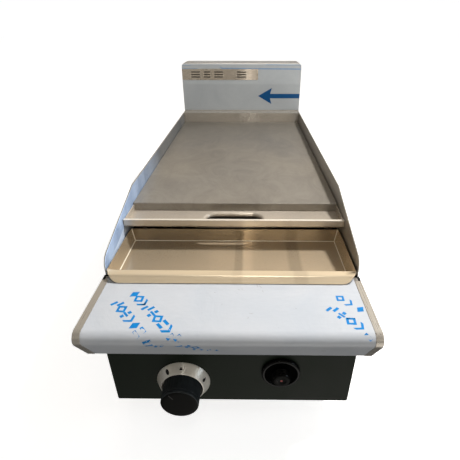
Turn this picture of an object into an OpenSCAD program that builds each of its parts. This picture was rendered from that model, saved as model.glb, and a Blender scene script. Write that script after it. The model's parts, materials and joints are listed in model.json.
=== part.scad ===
// Single-knob bench-top gas griddle with a lift-out grease tray.
// Row frame: X to the right, Y to the back, Z up, origin under the middle of the feet.
// Modules are drawn from the rail's nose (y = 0) and the base's underside (z = 0) and
// put in the row frame by row_frame().

/* [Body] */
// Width over the front rail and the splashback
body_w = 300; // [298:1:304]
// Depth from the rail's nose to the splashback's back
body_d = 800; // [795:1:820]
// Clear height under the base
foot_clear = 50; // [45:1:60]
// Height of the front rail's top above the base
deck_z = 165; // [164:0.5:166]
// Sheet thickness of the casing
sheet_t = 1.2; // [1.0:0.1:1.3]
// Distance of the control panel behind the rail's nose
panel_y = 52.3; // [50:0.1:53]
// Height of the splashback's top above the base
splash_z = 336; // [330:1:345]
// Distance of the splashback's front behind the rail's nose
splash_y = 743; // [742:0.5:746]

/* [Griddle plate] */
// Height of the cooking face above the base
plate_z = 199; // [197:0.5:201]
// Thickness of the plate
plate_t = 12; // [11:0.5:12]
// Half width of the plate
plate_half_w = 146.5; // [145:0.5:146.5]
// Front edge of the plate
plate_front = 224; // [222:1:226]
// Back edge of the plate
plate_back = 708; // [700:1:708]

/* [Trough and tray] */
// Front of the trough's lip
trough_front = 175; // [175:0.5:176]
// Height of the trough's lip
trough_lip_z = 197.5; // [194:0.5:198]
// Length of the drain slot
slot_len = 79; // [70:1:84]
// Front of the drain slot
slot_front = 187; // [187:0.5:189]
// Back of the drain slot
slot_back = 216; // [212:1:217]
// Height of the tray's rim
tray_rim_z = 174; // [172:0.5:174.5]
// Height of the tray's floor
tray_floor_z = 154; // [153:0.5:156]
// Half width of the tray
tray_half_w = 144.6; // [143:0.1:145]
// Back of the tray
tray_back = 195.5; // [190:0.5:196]

/* [Controls] */
// Distance of each control's axis from the middle
control_x = 60; // [55:1:62]
// Height of the knob's axis above the base
knob_z = 36; // [34:1:38]
// Height of the igniter's axis above the base
igniter_z = 54; // [50:1:56]
// Radius of the knob's bezel
bezel_r = 33; // [31:0.5:34]
// Radius of the knob at its front
knob_r = 22.5; // [21:0.5:23]
// Radius of the igniter button
button_r = 10.8; // [9:0.1:11]

/* [Burner] */
// Distance of each burner limb from the middle
limb_x = 60; // [58:1:62]
// Height of the burner above the base
burner_z = 110; // [106:1:112]
// Radius of each burner limb
limb_r = 15; // [14:0.5:16]

/* [Feet] */
// Distance of each foot from the middle
foot_x = 115; // [110:1:120]
// Distance of the front feet behind the rail's nose
foot_front = 120; // [110:1:130]
// Distance of the rear feet behind the rail's nose
foot_rear = 700; // [680:1:710]
// Radius of a foot's pad
foot_r = 20; // [18:1:22]

/* [Hidden] */
half_w = body_w / 2;
panel_half_w = half_w - 2.6;          // side panels and guards stand outside this
guard_out = half_w - 1.4;
rail_half_w = half_w - 2.8;
cap_in = half_w - 7.5;                // inner edge of each end cap
cap_t = 0.6;
film_t = 0.25;
rear_y = body_d - 28;                 // rear panel, under the overhanging flue
guard_front = 97;
guard_z = deck_z + 57.5;
rail_back = 95;
plate_under = plate_z - plate_t;
lip_corner = 16;                      // plan radius of the tray's front corners
floor_under = plate_under - sheet_t;  // underside of the trough
chamber_half_w = 133;
firewall_y = 246;
port_count = 18;
inlet_x = 100;
inlet_z = 45;
inlet_r = 10.48;                      // half inch pipe thread, male
spindle_r = 4;
off_angle = -35;                      // the off mark's place on the bezel, from the top
tap_clear = 0.06;                     // running clearance in the gas tap
shutter_clear = 0.1;
button_clear = 0.1;
stem_r = 6;                           // M12 levelling screw
stem_clear = 0.05;
badge_x = [-149.2, 42];
badge_z = [296.4, 322];

// Routes of the small pipes and leads, from one end to the other.
SUPPLY_ROUTE = [[100, 762, 45], [100, 752, 45], [100, 735, 32], [100, 700, 30], [100, 270, 30],
                [100, 190, 30], [85, 150, 30], [-30, 130, 30], [-60, 122, 30], [-60, 100, 30]];
FEED_ROUTE = [[-60, 92, 50], [-60, 92, 72], [-60, 118, 78], [-60, 118, 97]];
PILOT_ROUTE = [[-44, 80, 36], [-34, 80, 36], [-20, 84, 36], [-12, 120, 42], [-12, 200, 70],
               [-12, 258, 70], [-12, 268, 74], [-12, 268, 84]];
SENSOR_ROUTE = [[-30, 268, 80], [-30, 268, 76], [-30, 262, 71], [-30, 230, 70], [-30, 190, 64],
                [-30, 150, 52], [-34, 120, 44], [-60, 112, 43], [-60, 100, 43]];
SPARK_ROUTE = [[60, 99, 54], [60, 118, 54], [40, 160, 60], [8, 210, 70],
               [6, 255, 70], [6, 268, 74], [6, 268, 82]];

steel = [0.72, 0.71, 0.69];
satin = [0.60, 0.58, 0.55];
film = [0.80, 0.86, 0.92];
dark = [0.13, 0.14, 0.14];
iron = [0.38, 0.36, 0.34];
brass = [0.78, 0.62, 0.32];
copper = [0.72, 0.45, 0.30];
black = [0.05, 0.05, 0.05];

// ---- helpers -------------------------------------------------------------------------

module row_frame() translate([0, -body_d / 2, foot_clear]) children();

module block(low, high) translate(low) cube(high - low);

// An outline in (y, z) drawn out along X.
module side_view(x0, x1) translate([x0, 0, 0]) rotate([90, 0, 90]) linear_extrude(x1 - x0) children();

// An outline in (x, z) drawn out along Y.
module front_view(y0, y1) translate([0, y1, 0]) rotate([90, 0, 0]) linear_extrude(y1 - y0) children();

// An outline in (radius, y) turned about an axis along Y.
module turned(x, z) translate([x, 0, z]) rotate([-90, 0, 0]) rotate_extrude($fn = 64) children();

module rod_y(x, z, y0, y1, r) translate([x, y0, z]) rotate([-90, 0, 0]) cylinder(h = y1 - y0, r = r, $fn = 48);

module both_sides() {
    children();
    mirror([1, 0, 0]) children();
}

module both_sides_at(x) translate([x, 0, 0]) both_sides() children();

function unit(v) = v / norm(v);
function left_of(v) = [-v[1], v[0]];
function arc(c, r, a0, a1, n) = [for (i = [0:n]) c + r * [cos(a0 + (a1 - a0) * i / n), sin(a0 + (a1 - a0) * i / n)]];

// The point at distance t to the left of path p at its vertex i.
function beside(p, i, t) =
    let (a = i > 0 ? unit(p[i] - p[i - 1]) : unit(p[1] - p[0]))
    let (b = i < len(p) - 1 ? unit(p[i + 1] - p[i]) : a)
    let (n = left_of(a) + left_of(b))
    p[i] + 2 * t * n / (n * n);

// A sheet of thickness t folded along path p, on its left side.
function sheet(p, t) = concat(p, [for (i = [len(p) - 1:-1:0]) beside(p, i, t)]);

// A path with its corners rounded off n times.
function softened(p, n) = n == 0 ? p : softened(
    concat([p[0]], [for (i = [0:len(p) - 2]) each [0.75 * p[i] + 0.25 * p[i + 1], 0.25 * p[i] + 0.75 * p[i + 1]]],
        [p[len(p) - 1]]), n - 1);

function along(p, i) = unit(p[min(i + 1, len(p) - 1)] - p[max(i - 1, 0)]);
function square_to(u, t) = unit(u - (u * t) * t);

// A round wire or pipe of radius r swept along a route.
module swept(route, r, sides) {
    p = softened(route, 2);
    last = len(p) - 1;
    starts = [for (i = 0, u = square_to([0.31, 0.17, 0.93], along(p, 0)); i <= last;
        i = i + 1, u = i <= last ? square_to(u, along(p, i)) : u) u];
    points = [for (i = [0:last]) for (k = [0:sides - 1])
        p[i] + r * (cos(360 * k / sides) * starts[i] + sin(360 * k / sides) * cross(along(p, i), starts[i]))];
    walls = [for (i = [0:last - 1]) for (k = [0:sides - 1])
        let (a = i * sides + k, b = i * sides + (k + 1) % sides) [a, a + sides, b + sides, b]];
    ends = [[for (k = [0:sides - 1]) k], [for (k = [sides - 1:-1:0]) last * sides + k]];
    polyhedron(points, concat(walls, ends));
}

// A slot with round ends, long in X, centred on the origin.
module oblong(length, width) {
    r = width / 2;
    polygon(concat(arc([length / 2 - r, 0], r, -90, 90, 12), arc([r - length / 2, 0], r, 90, 270, 12)));
}

// ---- casing --------------------------------------------------------------------------

module base_pan() row_frame() color(steel) difference() {
    union() {
        block([-panel_half_w + 0.1, panel_y + 1.4, 0], [panel_half_w - 0.1, rear_y - 0.1, sheet_t]);
        both_sides() block([panel_half_w - 1.3, panel_y + 16, 0], [panel_half_w - 0.1, rear_y - 0.1, 12]);
    }
    for (x = [-48, 48]) for (y = [320:80:640]) translate([x, y, -1]) linear_extrude(4) oblong(64, 10);
    for (x = [-foot_x, foot_x]) for (y = [foot_front, foot_rear]) translate([x, y, -1]) cylinder(h = 4, r = stem_r + 0.6, $fn = 48);
}

module side_panel() difference() {
    block([panel_half_w, panel_y + 1.3, 0], [guard_out, rear_y, deck_z - 0.1]);
    for (z = [40:14:96]) side_view(panel_half_w - 1, guard_out + 1) translate([560, z]) oblong(90, 6);
}

module side_panel_left() row_frame() color(dark) mirror([1, 0, 0]) side_panel();

module side_panel_right() row_frame() color(dark) side_panel();

module rear_panel() row_frame() color(steel) difference() {
    block([-guard_out, rear_y + 0.1, 0], [guard_out, rear_y + 0.1 + sheet_t, deck_z - 1.2]);
    rod_y(inlet_x, inlet_z, rear_y - 1, rear_y + 3, inlet_r + 0.3);
    for (z = [90:14:132]) front_view(rear_y - 1, rear_y + 3) translate([0, z]) oblong(110, 6);
}

module control_panel() row_frame() color(dark) difference() {
    union() {
        block([-panel_half_w, panel_y, 0], [panel_half_w, panel_y + sheet_t, 150]);
        both_sides() block([panel_half_w - 1.3, panel_y, 1.4], [panel_half_w - 0.1, panel_y + 14, 150]);
        block([-panel_half_w + 1, panel_y, 148.8], [panel_half_w - 1, panel_y + 18, 150]);
    }
    rod_y(-control_x, knob_z, panel_y - 1, panel_y + 3, 9.5);
    rod_y(control_x, igniter_z, panel_y - 1, panel_y + 3, button_r + 0.5);
}

// The rail's outside, from its back fold over the nose to its lower edge and up the panel.
RAIL_PATH = concat(
    [[rail_back, deck_z - 15], [rail_back, deck_z]],
    arc([9.6, deck_z - 9], 9, 90, 210, 12),
    [[20.3, deck_z - 45.5], [panel_y, deck_z - 45.5], [panel_y, deck_z - 30]]
);
RAIL_FACE = [for (i = [1:len(RAIL_PATH) - 3]) RAIL_PATH[i]];

module front_rail() row_frame() color(steel) side_view(-rail_half_w, rail_half_w) polygon(sheet(RAIL_PATH, sheet_t));

module rail_end_cap() {
    skin = concat([[rail_back - 7, deck_z]], [for (i = [1:len(RAIL_FACE) - 1]) RAIL_FACE[i]]);
    side_view(cap_in, half_w - sheet_t) polygon(sheet(skin, -cap_t));
    cheek = [for (i = [0:len(skin) - 1]) beside(skin, i, -cap_t)];
    side_view(half_w - sheet_t, half_w)
        polygon(concat(cheek, [[panel_y + 1, deck_z - 45.5], [panel_y + 34, deck_z - 26], [rail_back - 7, deck_z - 20]]));
}

module rail_end_cap_left() row_frame() color(satin) mirror([1, 0, 0]) rail_end_cap();

module rail_end_cap_right() row_frame() color(satin) rail_end_cap();

module rail_film() row_frame() color(film) side_view(-cap_in + 0.2, cap_in - 0.2) polygon(sheet(RAIL_FACE, -film_t));

module corner_seals() row_frame() color(black) both_sides()
    block([rail_half_w + 0.2, rail_back - 6.6, deck_z - 0.1], [half_w - 0.2, guard_front - 0.2, deck_z + 0.6]);

// ---- grease tray and trough ----------------------------------------------------------

// An angle along Y: its corner is at (x, z), with a level leg towards the middle and one down.
module side_view_angle(corner, leg, y0, y1) front_view(y0, y1)
    polygon(sheet([[corner[0], corner[1] - leg], corner, [corner[0] - leg, corner[1]]], sheet_t));

module tray_runners() row_frame() color(steel) both_sides()
    side_view_angle([panel_half_w - 0.1, tray_floor_z - sheet_t - 0.3], 12, 100, 244);

// The tray's section: rolled front lip, sloping front wall, floor and back wall.
TRAY_TOP = [
    [80.6, deck_z + 1.4], [84, tray_rim_z - 2.2], [84.9, tray_rim_z - 0.7], [86.5, tray_rim_z],
    [95.5, tray_rim_z], [121, tray_floor_z], [tray_back - sheet_t, tray_floor_z], [tray_back - sheet_t, tray_rim_z - 1.2]
];

module grease_tray() row_frame() color(satin) intersection() {
    union() {
        intersection() {
            side_view(-tray_half_w, tray_half_w) polygon(sheet(TRAY_TOP, -sheet_t));
            front_view(78, 204) polygon([
                [-tray_half_w + 3, deck_z - 20], [tray_half_w - 3, deck_z - 20],
                [tray_half_w, tray_rim_z + 1], [-tray_half_w, tray_rim_z + 1]]);
        }
        both_sides() intersection() {
            side_view(tray_half_w - 8, tray_half_w) polygon([
                [95.5, tray_rim_z], [121, tray_floor_z - sheet_t], [tray_back, tray_floor_z - sheet_t],
                [tray_back, tray_rim_z - 1.2], [tray_back - 11, tray_rim_z]]);
            front_view(90, 204) polygon(sheet([[tray_half_w - sheet_t, tray_rim_z + 1],
                [tray_half_w - sheet_t - 3, tray_floor_z - 2]], sheet_t));
        }
    }
    translate([0, 0, deck_z - 20]) linear_extrude(40) polygon(concat(
        arc([-tray_half_w + lip_corner, 80.6 + lip_corner], lip_corner, 180, 270, 8),
        arc([tray_half_w - lip_corner, 80.6 + lip_corner], lip_corner, 270, 360, 8),
        [[tray_half_w, tray_back + 1], [-tray_half_w, tray_back + 1]]));
}

module drain_slot(grow, z0, z1) translate([-1, (slot_front + slot_back) / 2, z0])
    linear_extrude(z1 - z0) oblong(slot_len + 2 * grow, slot_back - slot_front + 2 * grow);

module grease_trough() row_frame() color(satin) {
    difference() {
        union() {
            side_view(-plate_half_w, plate_half_w) polygon(sheet([
                [trough_front + 3.5, trough_lip_z], [trough_front, trough_lip_z],
                [trough_front, floor_under], [firewall_y, floor_under]], sheet_t));
            both_sides() block([plate_half_w - sheet_t, trough_front + 1, plate_under - 0.5], [plate_half_w, plate_front - 0.2, trough_lip_z - 1]);
            drain_slot(sheet_t, floor_under - 4.5, plate_under - 0.6);
        }
        drain_slot(0, floor_under - 10, plate_under + 2);
    }
}

module drain_chute() row_frame() color(steel) {
    side_view(-52, 52) polygon(sheet([[191.5, 176.4], [219, 177.8], [220.5, floor_under - 1], [232, floor_under - 1]], 1));
    both_sides() side_view(51, 52) polygon([[191.5, 176.4], [219, 177.8], [219, floor_under - 3], [218.6, 184], [191.7, 179.6]]);
}

// ---- cooking surface -----------------------------------------------------------------

module griddle_plate() row_frame() color(iron) side_view(-plate_half_w, plate_half_w) polygon([
    [plate_front, plate_under], [plate_back, plate_under], [plate_back, plate_z],
    [plate_front + 0.8, plate_z], [plate_front, plate_z - 0.8]]);

// A guard's outline: upright front, rounded corner, slope, then level to the splashback.
GUARD_BEND = 235;
GUARD_RISE = 14.5;
GUARD_OUTLINE = concat(
    [[splash_y - 0.3, deck_z + 0.1], [guard_front, deck_z + 0.1]],
    arc([guard_front + 15, deck_z + 10], 15, 180, 90 + GUARD_RISE, 8),
    arc([GUARD_BEND + 2, guard_z - 12], 12, 90 + GUARD_RISE, 90, 4),
    [[splash_y - 0.3, guard_z]]
);

module guard() {
    side_view(panel_half_w, guard_out) polygon(GUARD_OUTLINE);
    block([panel_half_w - 7, 250, deck_z + 0.1], [panel_half_w + 0.1, 735, deck_z + 1.3]);
}

module guard_left() row_frame() color(satin) mirror([1, 0, 0]) guard();

module guard_right() row_frame() color(satin) guard();

module guard_film() row_frame() color(film) side_view(-panel_half_w, -panel_half_w + film_t) polygon(concat(
    [[plate_back - 1, plate_z + 0.5], [plate_front - 30, plate_z - 10], [guard_front + 2, deck_z + 6]],
    arc([guard_front + 16, deck_z + 10], 14, 180, 90 + GUARD_RISE, 6),
    [[GUARD_BEND + 1, guard_z - 1.6], [plate_back - 1, guard_z - 1.6]]));

module rear_upstand() row_frame() color(satin) side_view(-plate_half_w - 0.5, plate_half_w + 0.5)
    polygon(sheet([[plate_back + 0.3, plate_under], [plate_back + 0.3, guard_z - 0.5], [splash_y - 0.1, guard_z - 0.5]], -sheet_t));

// ---- splashback and flue -------------------------------------------------------------

// The splashback's face: upright, then leaning back a little above its crease, then over the top.
SPLASH_PATH = concat(
    [[splash_y, deck_z + 0.2], [splash_y, 287], [splash_y + 3.2, splash_z - 7]],
    arc([splash_y + 9.2, splash_z - 6], 6, 175, 90, 5),
    [[body_d, splash_z]]
);

// Width and round top corners of the splashback, drawn in by a distance.
module splash_outline(inset) polygon(concat(
    [[inset - half_w, deck_z - 10], [half_w - inset, deck_z - 10]],
    arc([half_w - 10, splash_z - 10], 10 - inset, 0, 90, 6),
    arc([10 - half_w, splash_z - 10], 10 - inset, 90, 180, 6)));

// The solid inside the splashback's face, drawn in by a distance.
module splash_solid(inset) intersection() {
    side_view(-half_w, half_w) polygon(concat(
        [for (i = [0:len(SPLASH_PATH) - 1]) beside(SPLASH_PATH, i, -inset)],
        [[body_d + inset, splash_z - inset], [body_d + inset, deck_z + 0.2 - 2 * inset], [splash_y + inset, deck_z + 0.2 - 2 * inset]]));
    front_view(splash_y - 5, body_d + 5) splash_outline(inset);
}

module splashback_panel() row_frame() color(steel) difference() {
    splash_solid(0);
    splash_solid(sheet_t);
    block([-half_w + sheet_t, splash_y - 1, deck_z - 1], [half_w - sheet_t, splash_y + 1.3, guard_z - 3]);
    block([-125, splash_y + 18, splash_z - 3], [125, body_d - 12, splash_z + 1]);
}

module splashback_back() row_frame() color(steel)
    block([-half_w + 1.4, body_d - 2.3 - sheet_t, deck_z + 1.6], [half_w - 1.4, body_d - 2.3, splash_z - 14]);

module screw_heads(y, places) for (p = places) rod_y(p[0], p[1], y, y + 1.9, 4.2);

module rear_screws() row_frame() color(steel) {
    screw_heads(rear_y + 0.1 + sheet_t, [for (x = [-138, 138]) for (z = [12, 80, 150]) [x, z]]);
    screw_heads(body_d - 2.3, [for (x = [-140, 0, 140]) for (z = [178, 310]) [x, z]]);
}

// A thin skin on the splashback's face between two heights.
module splash_skin(x0, x1, z0, z1, t) intersection() {
    side_view(x0, x1) polygon(sheet([for (i = [0:5]) SPLASH_PATH[i]], t));
    front_view(splash_y - 5, body_d) intersection() {
        translate([x0, z0]) square([x1 - x0, z1 - z0]);
        splash_outline(0.4);
    }
}

module splashback_film() row_frame() color(film) difference() {
    splash_skin(-half_w + 0.5, half_w - 0.5, guard_z + 0.5, splash_z, film_t);
    block([badge_x[0] - 2, splash_y - 5, badge_z[0]], [badge_x[1], splash_y + 8, badge_z[1]]);
}

module badge_plate() row_frame() color(satin) splash_skin(badge_x[0], badge_x[1] - 1, badge_z[0] + 0.6, badge_z[1] - 0.6, film_t);

module flue_grille() row_frame() color(dark) difference() {
    block([-130, splash_y + 14, splash_z - sheet_t - 2.2], [130, body_d - 8, splash_z - sheet_t - 1]);
    for (x = [-100:40:100]) for (y = [splash_y + 24, splash_y + 34]) translate([x, y, splash_z - 6]) linear_extrude(6) oblong(32, 5);
}

module flue_baffle() row_frame() color(steel) side_view(-panel_half_w + 0.2, panel_half_w - 0.2) polygon(sheet([
    [splash_y - 4, 62], [splash_y - 4, deck_z - 1], [body_d - 2.7, deck_z - 1]], sheet_t));

// ---- burner chamber ------------------------------------------------------------------

module firewall() row_frame() color(steel) difference() {
    block([-panel_half_w + 1.4, firewall_y, sheet_t], [panel_half_w - 1.4, firewall_y + sheet_t, deck_z - 2]);
    rod_y(inlet_x, 30, firewall_y - 1, firewall_y + 3, 8);
    rod_y(-limb_x, burner_z, firewall_y - 1, firewall_y + 3, limb_r + 1);
    for (x = [-30, -12, 6]) rod_y(x, 70, firewall_y - 1, firewall_y + 3, 4.5);
}

module plate_bearer() {
    block([plate_half_w - 8, firewall_y + 2, deck_z + 2], [plate_half_w - 6.8, plate_back - 2, plate_under]);
    block([plate_half_w - 8, firewall_y + 2, deck_z - 1.2], [panel_half_w - 0.1, plate_back - 2, deck_z - 0.1]);
    block([plate_half_w - 8, firewall_y + 2, deck_z - 1.2], [plate_half_w - 6.8, plate_back - 2, deck_z + 2.1]);
}

module plate_bearer_left() row_frame() color(steel) mirror([1, 0, 0]) plate_bearer();

module plate_bearer_right() row_frame() color(steel) plate_bearer();

module plate_bearer_rear() row_frame() color(steel) side_view(-plate_half_w + 9, plate_half_w - 9) polygon(sheet([
    [plate_back - 3, plate_under - 22], [plate_back - 3, plate_under], [plate_back - 17, plate_under]], 2));

module heat_shields() row_frame() color(steel) both_sides()
    block([chamber_half_w, firewall_y + 1.4, 62], [chamber_half_w + 1, splash_y - 5.4, deck_z - 2]);

module combustion_floor() row_frame() color(steel) difference() {
    block([-panel_half_w + 0.2, firewall_y + 1.4, 60.6], [panel_half_w - 0.2, splash_y - 2.7, 61.8]);
    for (x = [-90, 0, 90]) for (y = [340:90:610]) translate([x, y, 58]) linear_extrude(6) oblong(50, 12);
}

module burner_shape(shrink) {
    rod_y(-limb_x, burner_z, 262 - (shrink > 0 ? 1 : 0), 690 - shrink, limb_r - shrink);
    rod_y(limb_x, burner_z, 282 + shrink, 690 - shrink, limb_r - shrink);
    translate([-limb_x, 304, burner_z]) rotate([0, 90, 0]) cylinder(h = 2 * limb_x, r = limb_r - 3 - shrink, $fn = 48);
}

module burner_tube() row_frame() color(iron) difference() {
    burner_shape(0);
    burner_shape(1.5);
    for (x = [-limb_x, limb_x]) for (i = [0:port_count - 1]) translate([x, 330 + 20 * i, burner_z]) cylinder(h = 20, r = 2.2, $fn = 16);
}

// The venturi's wall as (radius, distance) from its mouth to the burner.
module burner_venturi() row_frame() color(iron) difference() {
    turned(-limb_x, burner_z) polygon([
        [14, 152], [16, 152], [16, 176], [12.5, 196], [12.5, 206], [15, 244], [15, 261.9],
        [13.4, 261.9], [13.4, 245], [10.9, 206], [10.9, 196], [14, 176]]);
    for (a = [45:90:315]) translate([-limb_x, 164, burner_z]) rotate([0, a, 0]) translate([0, 0, 8]) cylinder(h = 12, r = 4.5, $fn = 32);
}

module air_shutter() row_frame() color(steel) difference() {
    turned(-limb_x, burner_z) polygon([
        [16 + shutter_clear, 154], [18, 154], [18, 174], [16 + shutter_clear, 174]]);
    for (a = [45:90:315]) translate([-limb_x, 164, burner_z]) rotate([0, a + 12, 0]) translate([0, 0, 12]) cylinder(h = 12, r = 4.5, $fn = 32);
}

module injector() row_frame() color(brass) {
    translate([-limb_x, 130, burner_z]) rotate([90, 0, 0]) cylinder(h = 24, r = 9, $fn = 6);
    rod_y(-limb_x, burner_z, 129, 148, 5);
    rod_y(-limb_x, burner_z, 147, 157, 3);
    translate([-limb_x, 118, burner_z - 13]) cylinder(h = 10, r = 6, $fn = 48);
}

module injector_bracket() row_frame() color(steel) difference() {
    union() {
        block([-limb_x - 22, 139, sheet_t], [-limb_x + 22, 141, burner_z + 14]);
        block([-limb_x - 22, 141, sheet_t], [-limb_x + 22, 165, sheet_t + 2]);
        both_sides_at(-limb_x) block([20, 140, burner_z - 10], [22, 153, burner_z + 10]);
    }
    rod_y(-limb_x, burner_z, 138, 142, 5.1);
}

module burner_bracket() row_frame() color(steel) difference() {
    block([-chamber_half_w + 0.2, 660, 61.9], [chamber_half_w - 0.2, 661.5, burner_z + 18]);
    for (x = [-limb_x, limb_x]) rod_y(x, burner_z, 659, 663, limb_r + 0.1);
    block([-30, 659, 75], [30, 663, burner_z + 20]);
}

module pilot_burner() row_frame() color(iron) difference() {
    union() {
        block([-40, firewall_y + 1.3, 100], [16, 284, 101.5]);
        block([-40, firewall_y + 1.3, 86], [16, firewall_y + 2.8, 101]);
        translate([-12, 268, 84]) cylinder(h = 26, r = 6, $fn = 48);
        translate([-12, 268, 109]) cylinder(h = 5, r = 8, $fn = 48);
    }
    translate([-30, 268, 98]) cylinder(h = 6, r = 3.3, $fn = 32);
    translate([6, 268, 98]) cylinder(h = 6, r = 3.6, $fn = 32);
    translate([-12, 268, 104]) cylinder(h = 12, r = 4, $fn = 32);
    block([-12, 264, 110.5], [0, 272, 112.5]);
}

module thermocouple() row_frame() color(copper) {
    translate([-30, 268, 80]) cylinder(h = 34, r = 3.2, $fn = 32);
    translate([-30, 268, 113]) cylinder(h = 12, r = 2, $fn = 32);
}

module spark_electrode() row_frame() color([0.93, 0.91, 0.86]) {
    translate([6, 268, 82]) cylinder(h = 30, r = 3.5, $fn = 32);
    translate([6, 268, 111]) cylinder(h = 9, r = 1, $fn = 24);
    translate([-2, 268, 119]) rotate([0, 90, 0]) cylinder(h = 8.6, r = 0.9, $fn = 24);
}

module pilot_tube() row_frame() color(copper) swept(PILOT_ROUTE, 2, 10);

module thermocouple_lead() row_frame() color(copper) swept(SENSOR_ROUTE, 1.5, 8);

module ignition_lead() row_frame() color([0.75, 0.16, 0.10]) swept(SPARK_ROUTE, 2, 8);

module supply_pipe() row_frame() color(iron) swept(SUPPLY_ROUTE, 6, 12);

module feed_pipe() row_frame() color(copper) swept(FEED_ROUTE, 4, 12);

// ---- controls ------------------------------------------------------------------------

module igniter_body() row_frame() color(black) difference() {
    union() {
        rod_y(control_x, igniter_z, panel_y + 1.3, panel_y + 44, 13);
        rod_y(control_x, igniter_z, panel_y + 1.3, panel_y + 4, 19);
        rod_y(control_x, igniter_z, panel_y + 43, panel_y + 46.7, 3);
    }
    rod_y(control_x, igniter_z, panel_y, panel_y + 40, button_r + button_clear);
}

module igniter_bezel() row_frame() color(black) turned(control_x, igniter_z) polygon(concat(
    [[button_r + 0.5, panel_y], [23.5, panel_y]],
    arc([21.3, panel_y - 2.8], 2.2, 0, -90, 5),
    arc([20.3, panel_y - 4.2], 0.8, -90, -180, 3),
    [[19.3, panel_y - 2.2], [button_r + 0.5, panel_y - 2.2]]));

module igniter_button() row_frame() color(black) turned(control_x, igniter_z) polygon(concat(
    [[0, panel_y + 30], [0, panel_y - 14]],
    arc([button_r - 1.5, panel_y - 12.5], 1.5, -90, 0, 4),
    [[button_r, panel_y + 30]]));

// A round shaft with a flat on its right-hand side.
module d_shape(r) difference() {
    circle(r = r, $fn = 48);
    translate([r - 1, -r]) square([r, 2 * r]);
}

module d_rod(x, z, y0, y1, r) translate([x, y1, z]) rotate([90, 0, 0]) linear_extrude(y1 - y0) d_shape(r);

module gas_valve() row_frame() color(brass) difference() {
    union() {
        block([-control_x - 16, panel_y + 10, knob_z - 14], [-control_x + 16, panel_y + 47.7, knob_z + 14]);
        rod_y(-control_x, knob_z, panel_y + 1.3, panel_y + 11, 12);
        translate([-control_x, 92, knob_z + 10]) cylinder(h = 4, r = 4.5, $fn = 32);
    }
    rod_y(-control_x, knob_z, panel_y, panel_y + 15, spindle_r + 0.8);
    rod_y(-control_x, knob_z, panel_y + 14, panel_y + 38, 7 + tap_clear);
}

module valve_plug() row_frame() color(steel) difference() {
    rod_y(-control_x, knob_z, panel_y + 14.3, panel_y + 37.7, 7);
    d_rod(-control_x, knob_z, panel_y + 14, panel_y + 34, spindle_r + tap_clear);
}

module valve_spindle() row_frame() color(steel) d_rod(-control_x, knob_z, 24, panel_y + 29, spindle_r);

// The knob, with the groove on its skirt that points at the bezel's marks.
module knob() row_frame() color(black) difference() {
    turned(-control_x, knob_z) polygon(concat(
        [[0, 20], [knob_r - 6, 20], [knob_r - 5, 19]],
        arc([knob_r - 1.6, 20.6], 1.6, -90, -6, 5),
        [[knob_r + 1.3, 46.4], [knob_r - 2, 46.4], [knob_r - 3, 30], [6.5, 30], [6.5, 45], [0, 45]]));
    d_rod(-control_x, knob_z, 23.9, 46, spindle_r + 0.03);
    translate([-control_x, 0, knob_z]) rotate([0, off_angle, 0]) block([-0.8, 18, knob_r - 2.2], [0.8, 41, knob_r + 4]);
}

module knob_bezel() row_frame() color(steel) turned(-control_x, knob_z) polygon([
    [13, panel_y], [bezel_r, panel_y], [bezel_r, panel_y - 0.9], [bezel_r - 0.5, panel_y - 1.7],
    [knob_r + 3.6, panel_y - 11.3], [knob_r + 3, panel_y - 11.7], [knob_r + 2.5, panel_y - 11.3],
    [knob_r + 2.5, panel_y - 1.5], [13, panel_y - 1.5]]);

// ---- gas inlet and feet --------------------------------------------------------------

module gas_inlet() row_frame() color(brass) difference() {
    union() {
        rod_y(inlet_x, inlet_z, rear_y - 10, rear_y + 2, 9);
        translate([inlet_x, rear_y + 11, inlet_z]) rotate([90, 0, 0]) cylinder(h = 9.6, r = 14.5, $fn = 6);
        rod_y(inlet_x, inlet_z, rear_y + 10, rear_y + 26, inlet_r);
    }
    rod_y(inlet_x, inlet_z, rear_y - 8, rear_y + 30, 7);
}

module foot_bushes() row_frame() color(steel) for (x = [-foot_x, foot_x]) for (y = [foot_front, foot_rear])
    translate([x, y, -12]) difference() {
        cylinder(h = 12, r = 13, $fn = 48);
        translate([0, 0, -1]) cylinder(h = 14, r = stem_r + stem_clear, $fn = 48);
    }

module foot(x, y) row_frame() color(steel) translate([x, y, -foot_clear]) {
    cylinder(h = 5, r = foot_r, $fn = 64);
    translate([0, 0, 4.9]) cylinder(h = 12, r = 12, $fn = 6);
    translate([0, 0, 16]) cylinder(h = foot_clear - 2, r = stem_r, $fn = 48);
}

module foot_front_left() foot(-foot_x, foot_front);

module foot_front_right() foot(foot_x, foot_front);

module foot_rear_left() foot(-foot_x, foot_rear);

module foot_rear_right() foot(foot_x, foot_rear);

base_pan();
side_panel_left();
side_panel_right();
rear_panel();
control_panel();
front_rail();
rail_end_cap_left();
rail_end_cap_right();
rail_film();
corner_seals();
tray_runners();
grease_tray();
grease_trough();
drain_chute();
rear_screws();
griddle_plate();
guard_left();
guard_right();
guard_film();
rear_upstand();
splashback_panel();
splashback_back();
splashback_film();
badge_plate();
flue_grille();
firewall();
plate_bearer_left();
plate_bearer_right();
plate_bearer_rear();
heat_shields();
combustion_floor();
flue_baffle();
burner_tube();
burner_venturi();
air_shutter();
injector();
injector_bracket();
burner_bracket();
pilot_burner();
pilot_tube();
thermocouple();
thermocouple_lead();
spark_electrode();
ignition_lead();
igniter_body();
igniter_bezel();
igniter_button();
gas_valve();
valve_plug();
valve_spindle();
knob();
knob_bezel();
supply_pipe();
feed_pipe();
gas_inlet();
foot_bushes();
foot_front_left();
foot_front_right();
foot_rear_left();
foot_rear_right();
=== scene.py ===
"""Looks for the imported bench-top gas griddle: camera, studio light, materials and detailed pieces."""

import json
import math
import random

import bmesh
import bpy
from mathutils import Euler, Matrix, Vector, noise


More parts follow.
